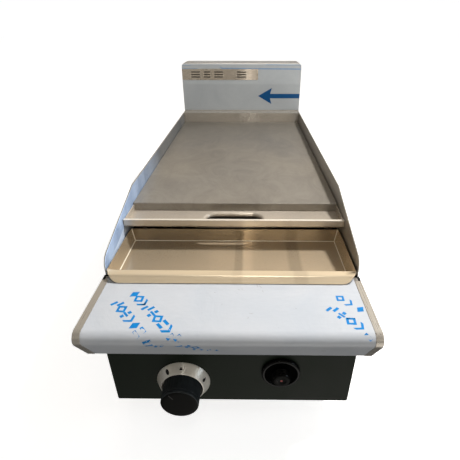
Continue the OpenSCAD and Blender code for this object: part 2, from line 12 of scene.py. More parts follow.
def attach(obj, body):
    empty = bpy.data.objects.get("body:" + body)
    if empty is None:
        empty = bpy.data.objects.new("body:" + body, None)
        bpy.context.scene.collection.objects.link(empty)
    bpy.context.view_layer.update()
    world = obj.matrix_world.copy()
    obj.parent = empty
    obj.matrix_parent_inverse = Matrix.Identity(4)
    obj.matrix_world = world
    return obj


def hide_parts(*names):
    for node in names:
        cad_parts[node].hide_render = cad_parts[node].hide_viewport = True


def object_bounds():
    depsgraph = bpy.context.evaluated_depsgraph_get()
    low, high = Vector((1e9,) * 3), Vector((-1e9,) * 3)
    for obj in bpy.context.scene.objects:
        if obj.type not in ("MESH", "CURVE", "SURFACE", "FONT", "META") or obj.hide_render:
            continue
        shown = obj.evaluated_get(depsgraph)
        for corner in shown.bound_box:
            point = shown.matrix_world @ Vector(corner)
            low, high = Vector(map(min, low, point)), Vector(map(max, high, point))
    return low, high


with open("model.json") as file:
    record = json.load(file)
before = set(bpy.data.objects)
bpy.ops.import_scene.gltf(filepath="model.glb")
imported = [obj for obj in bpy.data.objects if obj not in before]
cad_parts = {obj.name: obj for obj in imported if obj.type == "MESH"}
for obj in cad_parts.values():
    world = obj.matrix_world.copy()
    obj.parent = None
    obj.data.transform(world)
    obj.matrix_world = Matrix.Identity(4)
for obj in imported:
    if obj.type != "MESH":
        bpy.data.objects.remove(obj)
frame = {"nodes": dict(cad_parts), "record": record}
nodes = frame["nodes"]
cad_low, cad_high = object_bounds()

# Sizes and places are in the CAD's own millimetres, unless a comment says metres.
MM = 0.001
FOOT = 50  # clearance under the casing
SHEET = 1.2  # thickness of the tray's and the trough's steel
FILM = 0.25  # how far the peel-off film's face stands off the steel
KNOB_X, KNOB_Z = -60, 36
IGN_X, IGN_Z = 60, 54
INLET_X, INLET_Z = 100, 45


def at(x, y, z):
    """A point in metres: y is given from the rail's nose, and z from the casing's underside."""
    return Vector((x * MM, cad_low[1] + y * MM, cad_low[2] + (z + FOOT) * MM))


# ---- camera ----

scene = bpy.context.scene
camera_data = bpy.data.cameras.new("camera")
camera_data.sensor_width = 36
camera_data.lens = 28.674
camera_data.shift_x = -0.0330
camera_data.shift_y = -0.0033
camera_data.clip_start = 0.01
camera_data.clip_end = 200
camera_data.dof.use_dof = False
camera = bpy.data.objects.new("camera", camera_data)
scene.collection.objects.link(camera)
camera.location = at(19.86, -251.28, 426.48)
camera.rotation_euler = Euler((math.radians(60.487), 0, math.radians(0.608)), "XYZ")
scene.camera = camera
scene.view_settings.view_transform = "Standard"
scene.view_settings.look = "None"

# ---- node helpers ----


def grey(level):
    return (level, level, level)


def shade(colour, factor):
    return tuple(min(1.0, c * factor) for c in colour)


class Graph:
    """A small wrapper round one node tree."""

    def __init__(self, tree):
        self.tree = tree

    def add(self, kind, inputs=None, **settings):
        node = self.tree.nodes.new(kind)
        for name, value in settings.items():
            setattr(node, name, value)
        for name, value in (inputs or {}).items():
            self.feed(node.inputs[name], value)
        return node

    def feed(self, socket, value):
        """Links a socket to another, or sets its value."""
        if isinstance(value, bpy.types.NodeSocket):
            self.tree.links.new(value, socket)
        else:
            socket.default_value = value

    def place(self, scale=(1, 1, 1), turn=(0, 0, 0), shift=(0, 0, 0)):
        """Object coordinates in metres, scaled, turned and shifted."""
        coords = self.add("ShaderNodeTexCoord").outputs["Object"]
        turn = [math.radians(a) for a in turn]
        inputs = {"Vector": coords, "Scale": scale, "Rotation": turn, "Location": shift}
        return self.add("ShaderNodeMapping", inputs).outputs["Vector"]

    def normal(self):
        return self.add("ShaderNodeNewGeometry").outputs["Normal"]

    def along(self, axis, vector=None):
        """One coordinate of a vector, or of the object coordinates where none is given."""
        inputs = {"Vector": self.place() if vector is None else vector}
        return self.add("ShaderNodeSeparateXYZ", inputs).outputs[axis]

    def noise(self, vector, scale, detail=4, rough=0.55, distortion=0.0):
        inputs = {"Vector": vector, "Scale": scale, "Detail": detail, "Roughness": rough}
        return self.add("ShaderNodeTexNoise", {**inputs, "Distortion": distortion}).outputs["Fac"]

    def ramp(self, factor, stops):
        node = self.add("ShaderNodeValToRGB", {"Fac": factor})
        elements = node.color_ramp.elements
        while len(elements) < len(stops):
            elements.new(0.5)
        for element, (place, colour) in zip(elements, stops):
            element.position = place
            element.color = (*colour, 1)
        return node.outputs["Color"]

    def spread(self, factor, low, high, start=0.3, end=0.7):
        """factor from start to end becomes low to high."""
        inputs = {"Value": factor, "From Min": start, "From Max": end, "To Min": low, "To Max": high}
        return self.add("ShaderNodeMapRange", inputs).outputs[0]

    def run(self, axis, start, end, low=0.0, high=1.0):
        """Goes from low to high along an axis, between two places in millimetres."""
        ends = [getattr(at(value, value, value), axis.lower()) for value in (start, end)]
        return self.spread(self.along(axis), low, high, *ends)

    def math(self, operation, a, b=0.0):
        return self.add("ShaderNodeMath", {0: a, 1: b}, operation=operation).outputs[0]

    def vector(self, operation, inputs):
        return self.add("ShaderNodeVectorMath", inputs, operation=operation).outputs[0]

    def join_axes(self, x, y, z):
        return self.add("ShaderNodeCombineXYZ", {"X": x, "Y": y, "Z": z}).outputs[0]

    def mix(self, factor, a, b, blend="MIX"):
        """Mixes two colours, which are sockets or (red, green, blue)."""
        node = self.add("ShaderNodeMix", {0: factor}, data_type="RGBA", blend_type=blend)
        for index, value in ((6, a), (7, b)):
            self.feed(node.inputs[index], (*value, 1) if isinstance(value, tuple) else value)
        return node.outputs[2]

    def times(self, a, b):
        return self.mix(1.0, a, b, "MULTIPLY")

    def plus(self, a, b):
        return self.mix(1.0, a, b, "ADD")

    def bump(self, height, strength, distance, normal=None):
        inputs = {"Height": height, "Strength": strength, "Distance": distance}
        if normal is not None:
            inputs["Normal"] = normal
        return self.add("ShaderNodeBump", inputs).outputs["Normal"]


def material(name, metallic=0.0, specular=0.5, **fixed):
    """A new material with a principled shader: returns it, its graph and the shader."""
    made = bpy.data.materials.new(name)
    made.use_nodes = True
    tree = made.node_tree
    tree.nodes.clear()
    graph = Graph(tree)
    output = graph.add("ShaderNodeOutputMaterial")
    shader = graph.add("ShaderNodeBsdfPrincipled")
    shader.inputs["Metallic"].default_value = metallic
    shader.inputs["Specular IOR Level"].default_value = specular
    for key, value in fixed.items():
        shader.inputs[key.replace("_", " ")].default_value = value
    tree.links.new(shader.outputs["BSDF"], output.inputs["Surface"])
    return made, graph, shader


def join(graph, shader, **links):
    for name, value in links.items():
        graph.tree.links.new(value, shader.inputs[name.replace("_", " ")])


# ---- kinds of material ----


def grain_tangent(g):
    """The direction of the grain: along X, or along Y on walls that face X."""
    sideways = g.math("GREATER_THAN", g.math("ABSOLUTE", g.along("X", g.normal())), 0.6)
    return g.join_axes(g.math("SUBTRACT", 1.0, sideways), sideways, 0.0)


def grooved(g, amount, scale=5000):
    """Normals tipped at random across the grain, as by grooves too fine to see."""
    normal = g.normal()
    across = g.vector("CROSS_PRODUCT", {0: normal, 1: grain_tangent(g)})
    tip = g.spread(g.noise(g.place(scale=(0.05, 1, 1)), scale, detail=1), -amount, amount, 0.2, 0.8)
    tipped = g.vector("SCALE", {0: across, "Scale": tip})
    return g.vector("NORMALIZE", {0: g.vector("ADD", {0: normal, 1: tipped})})


def toned_along(g, colour, axis, levels):
    """The colour made lighter or darker along an axis, by pairs of a place and a level."""
    low, high = levels[0][0], levels[-1][0]
    stops = [((place - low) / (high - low), shade(grey(0.5), level)) for place, level in levels]
    return g.times(g.times(colour, g.ramp(g.run(axis, low, high), stops)), grey(2.0))


def long_streaks(g, along, grain):
    stretch = {"X": (0.02, 1, 1), "Y": (1, 0.02, 1), "Z": (1, 1, 0.02)}[along]
    return g.noise(g.place(scale=stretch), grain, detail=3, rough=0.6)


def brushed(name, colour, rough=(0.22, 0.38), along="X", grain=900, contrast=0.10, bump=0.12,
            blotch=0.08, anisotropy=0.0, metallic=1.0, grooves=0.0, painted_light_y=(), bands=()):
    """Rolled or brushed steel: long fine streaks along one axis, with faint broad staining.

    The last two arguments paint light and shade on it along Y and along X: lighter and darker stretches and
    bands that stand for highlights, shade and reflections.
    """
    turn = 0.25 if anisotropy else 0.0
    made, g, shader = material(name, metallic=metallic, Anisotropic=anisotropy, Anisotropic_Rotation=turn)
    streaks = long_streaks(g, along, grain)
    if along == "X":
        streaks = g.mix(g.along("Y", grain_tangent(g)), streaks, long_streaks(g, "Y", grain))
    broad = g.noise(g.place(), 9, detail=4, rough=0.6, distortion=0.6)
    base = g.ramp(streaks, [(0.25, shade(colour, 1 - contrast)), (0.75, shade(colour, 1 + contrast))])
    stain = g.ramp(broad, [(0.3, shade(colour, 1 - blotch)), (0.7, shade(colour, 1 + blotch))])
    both = g.mix(0.5, base, stain)
    # Painted light and shade: the colour is made lighter or darker along Y and along X.
    for axis, levels in (("Y", painted_light_y), ("X", bands)):
        if levels:
            both = toned_along(g, both, axis, levels)
    roughness = g.spread(g.mix(0.35, streaks, broad), *rough)
    normal = g.bump(streaks, bump, 0.0002, grooved(g, grooves) if grooves else None)
    join(g, shader, Base_Color=both, Roughness=roughness, Normal=normal)
    if anisotropy:
        join(g, shader, Tangent=grain_tangent(g))
    return made


def ground(name, colour, rough=(0.34, 0.5)):
    """Ground plate: crossed fine scratches, faint swirls and heat tint, with painted shade that darkens it
    toward the back.
    """
    made, g, shader = material(name, metallic=0.55)
    across = g.noise(g.place(scale=(0.03, 1, 1)), 1100, detail=3, rough=0.65)
    lengthwise = g.noise(g.place(scale=(1, 0.03, 1), turn=(0, 0, 4)), 800, detail=3, rough=0.65)
    swirl = g.noise(g.place(scale=(1, 0.6, 1)), 22, detail=6, rough=0.7, distortion=1.6)
    broad = g.noise(g.place(scale=(1, 0.8, 1)), 5.5, detail=3, rough=0.5, distortion=0.4)
    fine = g.mix(0.5, across, lengthwise)
    cold, warm = [tuple(c * tint for c, tint in zip(colour, tints))
                  for tints in ((0.88, 0.90, 0.94), (1.08, 1.06, 1.02))]
    base = g.ramp(fine, [(0.35, shade(colour, 0.90)), (0.65, shade(colour, 1.10))])
    tinted = g.mix(0.55, base, g.ramp(broad, [(0.32, cold), (0.68, warm)]))
    worn = g.times(tinted, g.ramp(swirl, [(0.32, (0.80, 0.80, 0.81)), (0.62, grey(1.05))]))
    # Painted shade: the plate's colour is made darker toward the back, where less light falls on it.
    painted_shade_to_back = [(0.0, grey(1.02)), (0.5, (0.84, 0.84, 0.845)), (1.0, (0.60, 0.61, 0.62))]
    both = g.times(worn, g.ramp(g.run("Y", 230, 710), painted_shade_to_back))
    roughness = g.spread(g.mix(0.5, swirl, fine), *rough)
    normal = g.bump(swirl, 0.08, 0.0015, g.bump(fine, 0.22, 0.0002))
    join(g, shader, Base_Color=both, Roughness=roughness, Normal=normal)
    return made


def peel_film(name, colour, cloud, wrinkle=0.25):
    """Thin plastic film stuck on steel: cloudy tint, small specks, faint scuffs."""
    made, g, shader = material(name, specular=0.45)
    clouds = g.noise(g.place(), 14, detail=5, rough=0.6, distortion=0.8)
    scuffs = g.noise(g.place(scale=(0.25, 1, 1), turn=(0, 0, 20)), 420, detail=3, rough=0.6)
    specks = g.add("ShaderNodeTexVoronoi", {"Vector": g.place(), "Scale": 90}).outputs["Distance"]
    base = g.ramp(clouds, [(0.3, cloud), (0.66, colour)])
    marks = g.ramp(specks, [(0.015, (0.55, 0.56, 0.58)), (0.035, grey(1))])
    dusty = g.ramp(scuffs, [(0.25, (0.955, 0.96, 0.965)), (0.6, grey(1))])
    normal = g.bump(clouds, wrinkle, 0.004, g.bump(scuffs, 0.08, 0.0002))
    both = g.times(g.times(base, marks), dusty)
    join(g, shader, Base_Color=both, Roughness=g.spread(clouds, 0.28, 0.42), Normal=normal)
    return made


def guard_film_front_to_rear(name, front, rear, cloud):
    """Film on the guard: bluish and blotched at the front, darker and grey toward the rear."""
    made, g, shader = material(name, specular=0.4)
    clouds = g.noise(g.place(scale=(1, 1, 0.5)), 30, detail=6, rough=0.65, distortion=0.9)
    scratches = g.noise(g.place(scale=(1, 0.2, 1), turn=(35, 0, 0)), 300, detail=4, rough=0.7)
    both = g.mix(g.run("Y", 180, 420), front, rear)
    both = g.times(both, g.ramp(clouds, [(0.34, cloud), (0.60, grey(1))]))
    both = g.times(both, g.ramp(scratches, [(0.30, (0.78, 0.80, 0.84)), (0.52, grey(1))]))
    normal = g.bump(clouds, 0.2, 0.003, g.bump(scratches, 0.1, 0.0003))
    join(g, shader, Base_Color=both, Roughness=g.spread(clouds, 0.3, 0.45), Normal=normal)
    return made


def enamel(name, colour):
    """Satin enamel on sheet: faint orange peel and dust."""
    made, g, shader = material(name, specular=0.10)
    peel = g.noise(g.place(), 520, detail=2, rough=0.5)
    dust = g.noise(g.place(scale=(1, 1, 0.6)), 26, detail=5, rough=0.65, distortion=0.5)
    base = g.ramp(dust, [(0.3, shade(colour, 0.86)), (0.7, shade(colour, 1.22))])
    normal = g.bump(peel, 0.10, 0.0003)
    join(g, shader, Base_Color=base, Roughness=g.spread(dust, 0.38, 0.5), Normal=normal)
    return made


def moulded(name, colour, rough=(0.32, 0.46), specular=0.4):
    """Moulded plastic or rubber: a fine spark-eroded grain."""
    made, g, shader = material(name, specular=specular)
    fine = g.noise(g.place(), 900, detail=2, rough=0.5)
    broad = g.noise(g.place(), 60, detail=4, rough=0.6)
    base = g.ramp(broad, [(0.3, shade(colour, 0.85)), (0.7, shade(colour, 1.2))])
    normal = g.bump(fine, 0.12, 0.0002)
    join(g, shader, Base_Color=base, Roughness=g.spread(broad, *rough), Normal=normal)
    return made


def spun(name, colour, centre, rough):
    """Steel turned on a lathe about an axis along Y through centre: fine rings."""
    made, g, shader = material(name, metallic=0.45, Anisotropic=0.6)
    place = g.place(shift=(-centre[0], 0, -centre[2]))
    x, z = g.along("X", place), g.along("Z", place)
    radius = g.math("SQRT", g.math("ADD", g.math("POWER", x, 2.0), g.math("POWER", z, 2.0)))
    inputs = {"W": radius, "Scale": 2600, "Detail": 3}
    rings = g.add("ShaderNodeTexNoise", inputs, noise_dimensions="1D").outputs["Fac"]
    base = g.ramp(rings, [(0.3, shade(colour, 0.94)), (0.7, shade(colour, 1.04))])
    tangent = g.vector("NORMALIZE", {0: g.join_axes(x, 0.0, z)})
    normal = g.bump(rings, 0.012, 0.0002)
    join(g, shader, Base_Color=base, Roughness=g.spread(rings, *rough), Normal=normal, Tangent=tangent)
    return made


def printed(name, colour):
    """Ink on film, slightly uneven."""
    made, g, shader = material(name, specular=0.4)
    patch = g.noise(g.place(), 240, detail=4, rough=0.6)
    base = g.ramp(patch, [(0.3, shade(colour, 0.9)), (0.72, shade(colour, 1.18))])
    normal = g.bump(patch, 0.05, 0.0001)
    join(g, shader, Base_Color=base, Roughness=g.spread(patch, 0.3, 0.45), Normal=normal)
    return made


def guard_look(name):
    return brushed(name, (0.55, 0.53, 0.49), rough=(0.3, 0.45), along="Y", contrast=0.08, metallic=0.7)


def hazed(look):
    """Adds a pale haze of film on the faces that look right, toward the front."""
    g = Graph(look.node_tree)
    shader = next(n for n in look.node_tree.nodes if n.type == "BSDF_PRINCIPLED")
    inner = g.spread(g.along("X", g.normal()), 0.0, 1.0, 0.4, 0.6)
    haze = g.math("MULTIPLY", inner, g.run("Y", 160, 260, 1.0, 0.0))
    colour = g.mix(haze, shader.inputs["Base Color"].links[0].from_socket, (0.60, 0.72, 0.92))
    join(g, shader, Base_Color=colour, Metallic=g.spread(haze, 0.7, 0.2))
    return look


# ---- materials ----

steel = brushed("casing_steel", (0.50, 0.48, 0.45), metallic=0.7)
satin = brushed("satin_steel", (0.58, 0.52, 0.43), rough=(0.16, 0.26), contrast=0.05, bump=0.05, metallic=0.7)
guard_steel = guard_look("guard_steel")
hazy_guard = hazed(guard_look("guard_steel_hazed"))
cap_steel = brushed("cap_steel", (0.54, 0.50, 0.44), rough=(0.24, 0.36), along="Y", metallic=0.6)
dark = enamel("dark_enamel", (0.0080, 0.0128, 0.0080))
plate = ground("ground_steel", (0.36, 0.33, 0.285))
rail_film_look = peel_film("rail_film", (0.505, 0.53, 0.57), (0.465, 0.50, 0.55))
# Painted shade: the splashback's upright film is a darker copy of the rail's film, made dark by how the light
# falls on it.
upright_film_shaded_look = peel_film("splash_film_painted_shade", (0.38, 0.40, 0.41), (0.34, 0.36, 0.375), wrinkle=0.10)
guard_film_look = guard_film_front_to_rear("guard_film", (0.40, 0.525, 0.74), (0.14, 0.14, 0.138), (0.60, 0.64, 0.70))
iron = brushed("burner_steel", (0.13, 0.12, 0.11), rough=(0.5, 0.7), blotch=0.25)
bright = brushed("bright_steel", (0.62, 0.62, 0.61), along="Z")
bezel_look = spun("bezel_steel", (1.0, 0.95, 0.87), at(KNOB_X, 0, KNOB_Z), rough=(0.28, 0.36))
brass = brushed("brass", (0.72, 0.55, 0.27), contrast=0.05)
copper = brushed("copper", (0.70, 0.38, 0.24), contrast=0.05)
plastic = moulded("black_plastic", (0.008, 0.0085, 0.009))
rubber = moulded("black_rubber", (0.012, 0.012, 0.012), rough=(0.6, 0.75))
silicone = moulded("red_silicone", (0.45, 0.03, 0.02), rough=(0.5, 0.6))
ceramic = moulded("white_ceramic", (0.80, 0.77, 0.70), rough=(0.12, 0.2), specular=0.5)
blue_ink = printed("blue_ink", (0.0, 0.19, 0.52))
deep_ink = printed("deep_ink", (0.0, 0.055, 0.17))
pale_ink = printed("pale_ink", (0.15, 0.24, 0.38))
scuff_look = printed("scuffs", (0.30, 0.30, 0.31))
# Painted light and shade on the tray: a lighter front, a back wall painted dark as if in the trough's shade,
# and bands across X that stand for painted reflections, darker to the left.
tray_look = brushed(
    "tray_steel", (0.72, 0.59, 0.42), rough=(0.15, 0.17), contrast=0.03, bump=0.01, anisotropy=1.0,
    metallic=0.62, grooves=0.5,
    painted_light_y=[(78, 1.4), (94, 1.32), (98, 1.06), (191.5, 0.93), (193.5, 0.55)],
    bands=[(-142, 0.80), (-110, 0.83), (-60, 0.90), (-26, 0.97), (1, 0.96), (3, 0.78), (11, 0.78),
           (14, 1.10), (22, 1.05), (28, 0.93), (60, 0.97), (70, 0.99), (74, 0.80), (86, 0.82), (90, 1.06),
           (142, 1.05)])
# Painted highlight: a paler, less metallic copy of the tray's steel for its lower folds, drawing bright lines
# along them.
fold_highlight_look = brushed("tray_fold_highlights", (0.96, 0.88, 0.74), rough=(0.2, 0.26), contrast=0.03, bump=0.01,
                    metallic=0.3)
# Painted highlight: a paler, less metallic copy of the trough's steel for the top of the lip's hem.
hem_highlight_look = brushed("trough_hem_highlight", (0.80, 0.74, 0.65), rough=(0.24, 0.3), contrast=0.03, bump=0.01,
                    metallic=0.3)
# Painted light: the tray's lip is a lighter, yellower copy of the tray's steel, with bands across X that
# stand for painted reflections.
lip_lit_look = brushed(
    "tray_lip_painted_light", (0.90, 0.755, 0.545), rough=(0.19, 0.22), contrast=0.015, bump=0.003, blotch=0.03,
    metallic=0.55,
    bands=[(-142, 0.97), (-1, 0.97), (3, 0.90), (11, 0.90), (14, 1.04), (60, 1.0), (70, 1.0), (74, 0.88),
           (86, 0.88), (90, 1.02), (142, 1.02)])
trough_look = brushed("trough_steel", (0.66, 0.59, 0.50), rough=(0.22, 0.25), contrast=0.03, bump=0.01,
                      anisotropy=1.0, metallic=0.55, grooves=0.6)
badge_look = brushed("badge_steel", (0.60, 0.53, 0.44), rough=(0.15, 0.18), contrast=0.05, bump=0.02,
                     anisotropy=1.0, metallic=0.8, grooves=0.35)
upstand_look = brushed("upstand_steel", (0.52, 0.48, 0.42), rough=(0.16, 0.2), contrast=0.05, bump=0.02,
                       anisotropy=1.0, metallic=0.7, grooves=0.6)
etched_look = brushed("etched_steel", (0.16, 0.14, 0.12), rough=(0.4, 0.55))
# Painted light and shade on the black mouldings: front faces get a darker copy with less sheen as painted
# shade, and the knob's side a lighter copy with more sheen as painted light.
front_shaded_look = moulded("front_painted_shade", (0.003, 0.0033, 0.0028), rough=(0.30, 0.40), specular=0.045)
knob_flank_lit_look = moulded("knob_side_painted_light", (0.022, 0.027, 0.030), rough=(0.32, 0.42), specular=0.3)
# Painted shade: a near-black, dull copy of the black plastic for the inside of the igniter's collar.
recess_shade_look = moulded("recess", (0.0008, 0.0008, 0.0008), rough=(0.8, 0.9), specular=0.02)
groove_look = moulded("knob_line", (0.012, 0.012, 0.012), rough=(0.5, 0.6))
collar_look = moulded("igniter_plastic", (0.004, 0.004, 0.004), rough=(0.16, 0.26), specular=0.14)
button_look = moulded("button_plastic", (0.002, 0.002, 0.002), rough=(0.10, 0.16), specular=0.10)
black_mark = printed("black_mark", (0.008, 0.008, 0.008))
red_mark = printed("red_mark", (0.22, 0.01, 0.01))

SLOT_LOOKS = {
    "casing_steel": steel, "satin_steel": satin, "dark_panel": dark, "ground_steel": plate,
    "protective_film": rail_film_look, "burner_steel": iron, "bright_steel": bright,
    "bezel_steel": bezel_look, "brass": brass, "copper": copper, "black_plastic": plastic,
    "black_rubber": rubber, "red_silicone": silicone, "white_ceramic": ceramic,
}
NODE_LOOKS = {
    "rear_upstand": upstand_look, "guard_left": hazy_guard, "guard_right": guard_steel,
    "guard_film": guard_film_look, "drain_chute": iron, "splashback_film": upright_film_shaded_look,
    "rail_end_cap_left": cap_steel, "rail_end_cap_right": cap_steel,
}
slots = {s["node"]: s["material_slot"] for s in frame["record"]["subparts"]}
for name, node in nodes.items():
    look = NODE_LOOKS.get(name) or SLOT_LOOKS[slots[name]]
    node.data.materials.clear()
    node.data.materials.append(look)

# ---- mesh helpers ----


def piece(name, body, slot, look, verts, faces, replaces=(), sharp=35, bevel=0.0, bevel_angle=40):
    """A new mesh piece from points in metres. It rides on a body and may stand for CAD nodes."""
    mesh = bpy.data.meshes.new(name)
    mesh.from_pydata([tuple(v) for v in verts], [], faces)
    mesh.validate()
    made = bpy.data.objects.new(name, mesh)
    scene.collection.objects.link(made)
    work = bmesh.new()
    work.from_mesh(mesh)
    bmesh.ops.remove_doubles(work, verts=work.verts, dist=1e-6)
    bmesh.ops.recalc_face_normals(work, faces=work.faces)
    work.to_mesh(mesh)
    work.free()
    mesh.materials.append(look)
    mesh.shade_smooth()
    mesh.set_sharp_from_angle(angle=math.radians(sharp))
    if bevel:
        round_edges(made, bevel, bevel_angle)
        even_shading(made)
    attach(made, body)
    if replaces:
        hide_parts(*replaces)
    return made


def second_look(made, look, chosen):
    """Another look for the faces of a piece that a test picks."""
    made.data.materials.append(look)
    for face in made.data.polygons:
        if chosen(face):
            face.material_index = 1


def round_edges(made, width, angle=40):
    """Rounds the sharp edges."""
    edge = made.modifiers.new("edges", "BEVEL")
    edge.width = width * MM
    edge.segments = 2
    edge.limit_method = "ANGLE"
    edge.angle_limit = math.radians(angle)
    edge.use_clamp_overlap = True


def even_shading(made):
    """Keeps the flat faces flat beside their rounded folds."""
    weighted = made.modifiers.new("shading", "WEIGHTED_NORMAL")
    weighted.keep_sharp = True
    weighted.weight = 80


def thicken(made):
    """Gives a sheet its thickness, below its upper face."""
    up = sum(p.normal.z * p.area for p in made.data.polygons)
    skin = made.modifiers.new("sheet", "SOLIDIFY")
    skin.thickness = SHEET * MM
    skin.offset = -1 if up > 0 else 1
    skin.use_even_offset = True


def spaced(low, high, steps):
    return [low + (high - low) * k / steps for k in range(steps + 1)]


def around(sides):
    """The angles of a full turn."""
    return [2 * math.pi * k / sides for k in range(sides)]


def oval(half_width, half_height, sides):
    return [(half_width * math.cos(a), half_height * math.sin(a)) for a in around(sides)]


def arc(centre, radius, start, end, steps):
    angles = [math.radians(a) for a in spaced(start, end, steps)]
    return [(centre[0] + radius * math.cos(a), centre[1] + radius * math.sin(a)) for a in angles]


def fillet(path, radius, steps=4):
    """Rounds the corners of an open path of (a, b) points."""
    made = [Vector(path[0])]
    for a, b, c in zip(path, path[1:], path[2:]):
        a, b, c = Vector(a), Vector(b), Vector(c)
        u, v = a - b, c - b
        angle = u.angle(v)
        if angle > math.radians(172):
            made.append(b)
            continue
        reach = min(radius / math.tan(angle / 2), 0.45 * u.length, 0.45 * v.length)
        start, end = b + u.normalized() * reach, b + v.normalized() * reach
        for t in spaced(0, 1, steps):
            made.append((1 - t) ** 2 * start + 2 * t * (1 - t) * b + t * t * end)
    made.append(Vector(path[-1]))
    return made


def offset(path, distance):
    """The path moved sideways, to its left where distance is above zero."""
    made = []
    for i, p in enumerate(path):
        before = (path[i] - path[i - 1]).normalized() if i else None
        after = (path[i + 1] - path[i]).normalized() if i < len(path) - 1 else None
        before, after = before or after, after or before
        normal = Vector((-before.y, before.x)) + Vector((-after.y, after.x))
        made.append(p + 2 * distance * normal / normal.length_squared)
    return made


def grid_faces(rows, columns, wrap_rows=False, wrap_columns=False, first=0):
    """Quads over rows of points, each with the same number of columns."""
    faces = []
    for i in range(rows if wrap_rows else rows - 1):
        for j in range(columns if wrap_columns else columns - 1):
            a, b = first + i * columns, first + (i + 1) % rows * columns
            c, d = j, (j + 1) % columns
            faces.append((a + c, a + d, b + d, b + c))
    return faces


def prism_faces(n):
    """Two ends of n points each, one list after the other, and the sides between them."""
    ends = [tuple(range(n)), tuple(range(2 * n - 1, n - 1, -1))]
    return ends + [(i, (i + 1) % n, n + (i + 1) % n, n + i) for i in range(n)]


def sheet_along_x(path, thickness, stations):
    """Points and faces of a folded sheet with closed ends: path is (y, z), and stations are x."""
    loop = list(path) + offset(path, thickness)[::-1]
    count = len(loop)
    verts = [at(x, p.x, p.y) for x in stations for p in loop]
    faces = grid_faces(len(stations), count, wrap_columns=True)
    for first in (0, (len(stations) - 1) * count):
        for i in range(len(path) - 1):
            faces.append((first + i, first + i + 1, first + count - 2 - i, first + count - 1 - i))
    return verts, faces


def turned(profile, x, z, sides=96, closed=False):
    """Points and faces of (radius, y) turned about an axis along Y: closed joins last to first."""
    verts = [at(x + r * math.sin(a), y, z + r * math.cos(a)) for a in around(sides) for r, y in profile]
    return verts, grid_faces(sides, len(profile), wrap_rows=True, wrap_columns=closed)


def upright(profile, x, y, sides=72):
    """Points and faces of (radius, z) turned about an upright axis."""
    verts = [at(x + r * math.cos(a), y + r * math.sin(a), z) for a in around(sides) for r, z in profile]
    return verts, grid_faces(sides, len(profile), wrap_rows=True)


def flat_shape(outline, lift, depth, surface):
    """A thin raised shape: outline is (u, v) points, and surface(u, v, lift) is a point in metres."""
    verts = [surface(u, v, height) for height in (lift + depth, lift - depth) for u, v in outline]
    return verts, prism_faces(len(outline))


def several(parts):
    """Joins the points and faces of several shapes."""
    verts, faces = [], []
    for more_verts, more_faces in parts:
        first = len(verts)
        verts += more_verts
        faces += [tuple(first + i for i in face) for face in more_faces]
    return verts, faces


def raised(name, body, slot, look, outlines, lift, depth, surface, **settings):
    """A piece of thin raised shapes on a surface."""
    shapes = several([flat_shape(outline, lift, depth, surface) for outline in outlines])
    return piece(name, body, slot, look, *shapes, **settings)


def stepped(path, longest):
    """The path with points added, so that its steps are about as long as longest at the most."""
    made = []
    for a, b in zip(path, path[1:]):
        count = max(1, round((b - a).length / longest))
        made += [a + (b - a) * k / count for k in range(count)]
    return made + [path[-1]]


def lengths(steps):
    """How far each point of a path is from its start, along the path."""
    made = [0.0]
    for a, b in zip(steps, steps[1:]):
        made.append(made[-1] + (b - a).length)
    return made


class Skin:
    """The outside of a sheet that runs along X: steps are (y, z), and marks say how far along each is."""

    def __init__(self, steps, marks, side):
        self.steps = steps
        self.marks = marks
        self.out = [side * (q - p) for p, q in zip(steps, offset(steps, 1.0))]

    def point(self, x, mark, lift):
        """A point in metres, lifted off the sheet."""
        marks = self.marks
        mark = min(max(mark, marks[0]), marks[-1])
        i = min(max(k for k, m in enumerate(marks) if m <= mark), len(marks) - 2)
        t = (mark - marks[i]) / (marks[i + 1] - marks[i])
        place = self.steps[i].lerp(self.steps[i + 1], t) + lift * self.out[i].lerp(self.out[i + 1], t)
        return at(x, place.x, place.y)


# ---- rail film and its prints ----

RAIL_BACK = 95  # where the film starts, on the rail's top
FILM_HALF = 142.3
rail_path = [(RAIL_BACK, 165)] + arc((9.6, 156), 9, 90, 210, 16) + [(20.3, 119.5)]
rail_steps = stepped([Vector(p) for p in rail_path], 2.5)
rail = Skin(rail_steps, lengths(rail_steps), -1)


def ripple(x, run):
    """How far the film stands off the steel besides its thickness: a few low ripples and blisters."""
    wave = noise.noise(Vector((x * 0.035, run * 0.05, 3.1)))
    wave += 0.5 * noise.noise(Vector((x * 0.12, run * 0.10, 7.7)))
    return 0.07 * max(0.0, wave)


def film_sheet():
    """The film's face and underside, joined round the edge."""
    xs, runs = spaced(-FILM_HALF, FILM_HALF, 110), rail.marks
    verts = [rail.point(x, run, FILM + ripple(x, run)) for x in xs for run in runs]
    under = len(verts)
    verts += [rail.point(x, run, 0.02) for x in xs for run in runs]
    rows, columns = len(xs), len(runs)
    faces = grid_faces(rows, columns)
    faces += [tuple(reversed(face)) for face in grid_faces(rows, columns, first=under)]
    edge = list(range(columns)) + [k * columns + columns - 1 for k in range(1, rows)]
    edge += [(rows - 1) * columns + i for i in range(columns - 2, -1, -1)]
    edge += [k * columns for k in range(rows - 2, 0, -1)]
    faces += [(a, b, under + b, under + a) for a, b in zip(edge, edge[1:] + edge[:1])]
    return verts, faces


piece("rail_film_sheet", "chassis", "protective_film", rail_film_look, *film_sheet(), ["rail_film"])


def bar_shape(width, height, x=0.0, y=0.0):
    a, b = width / 2, height / 2
    return [(x - a, y - b), (x + a, y - b), (x + a, y + b), (x - a, y + b)]


def frame_shape(sides, outer, inner):
    """A flat many-sided frame, as four-cornered outlines."""
    far, near = oval(outer, outer, sides), oval(inner, inner, sides)
    return [[far[k - 1], far[k], near[k], near[k - 1]] for k in [*range(1, sides), 0]]


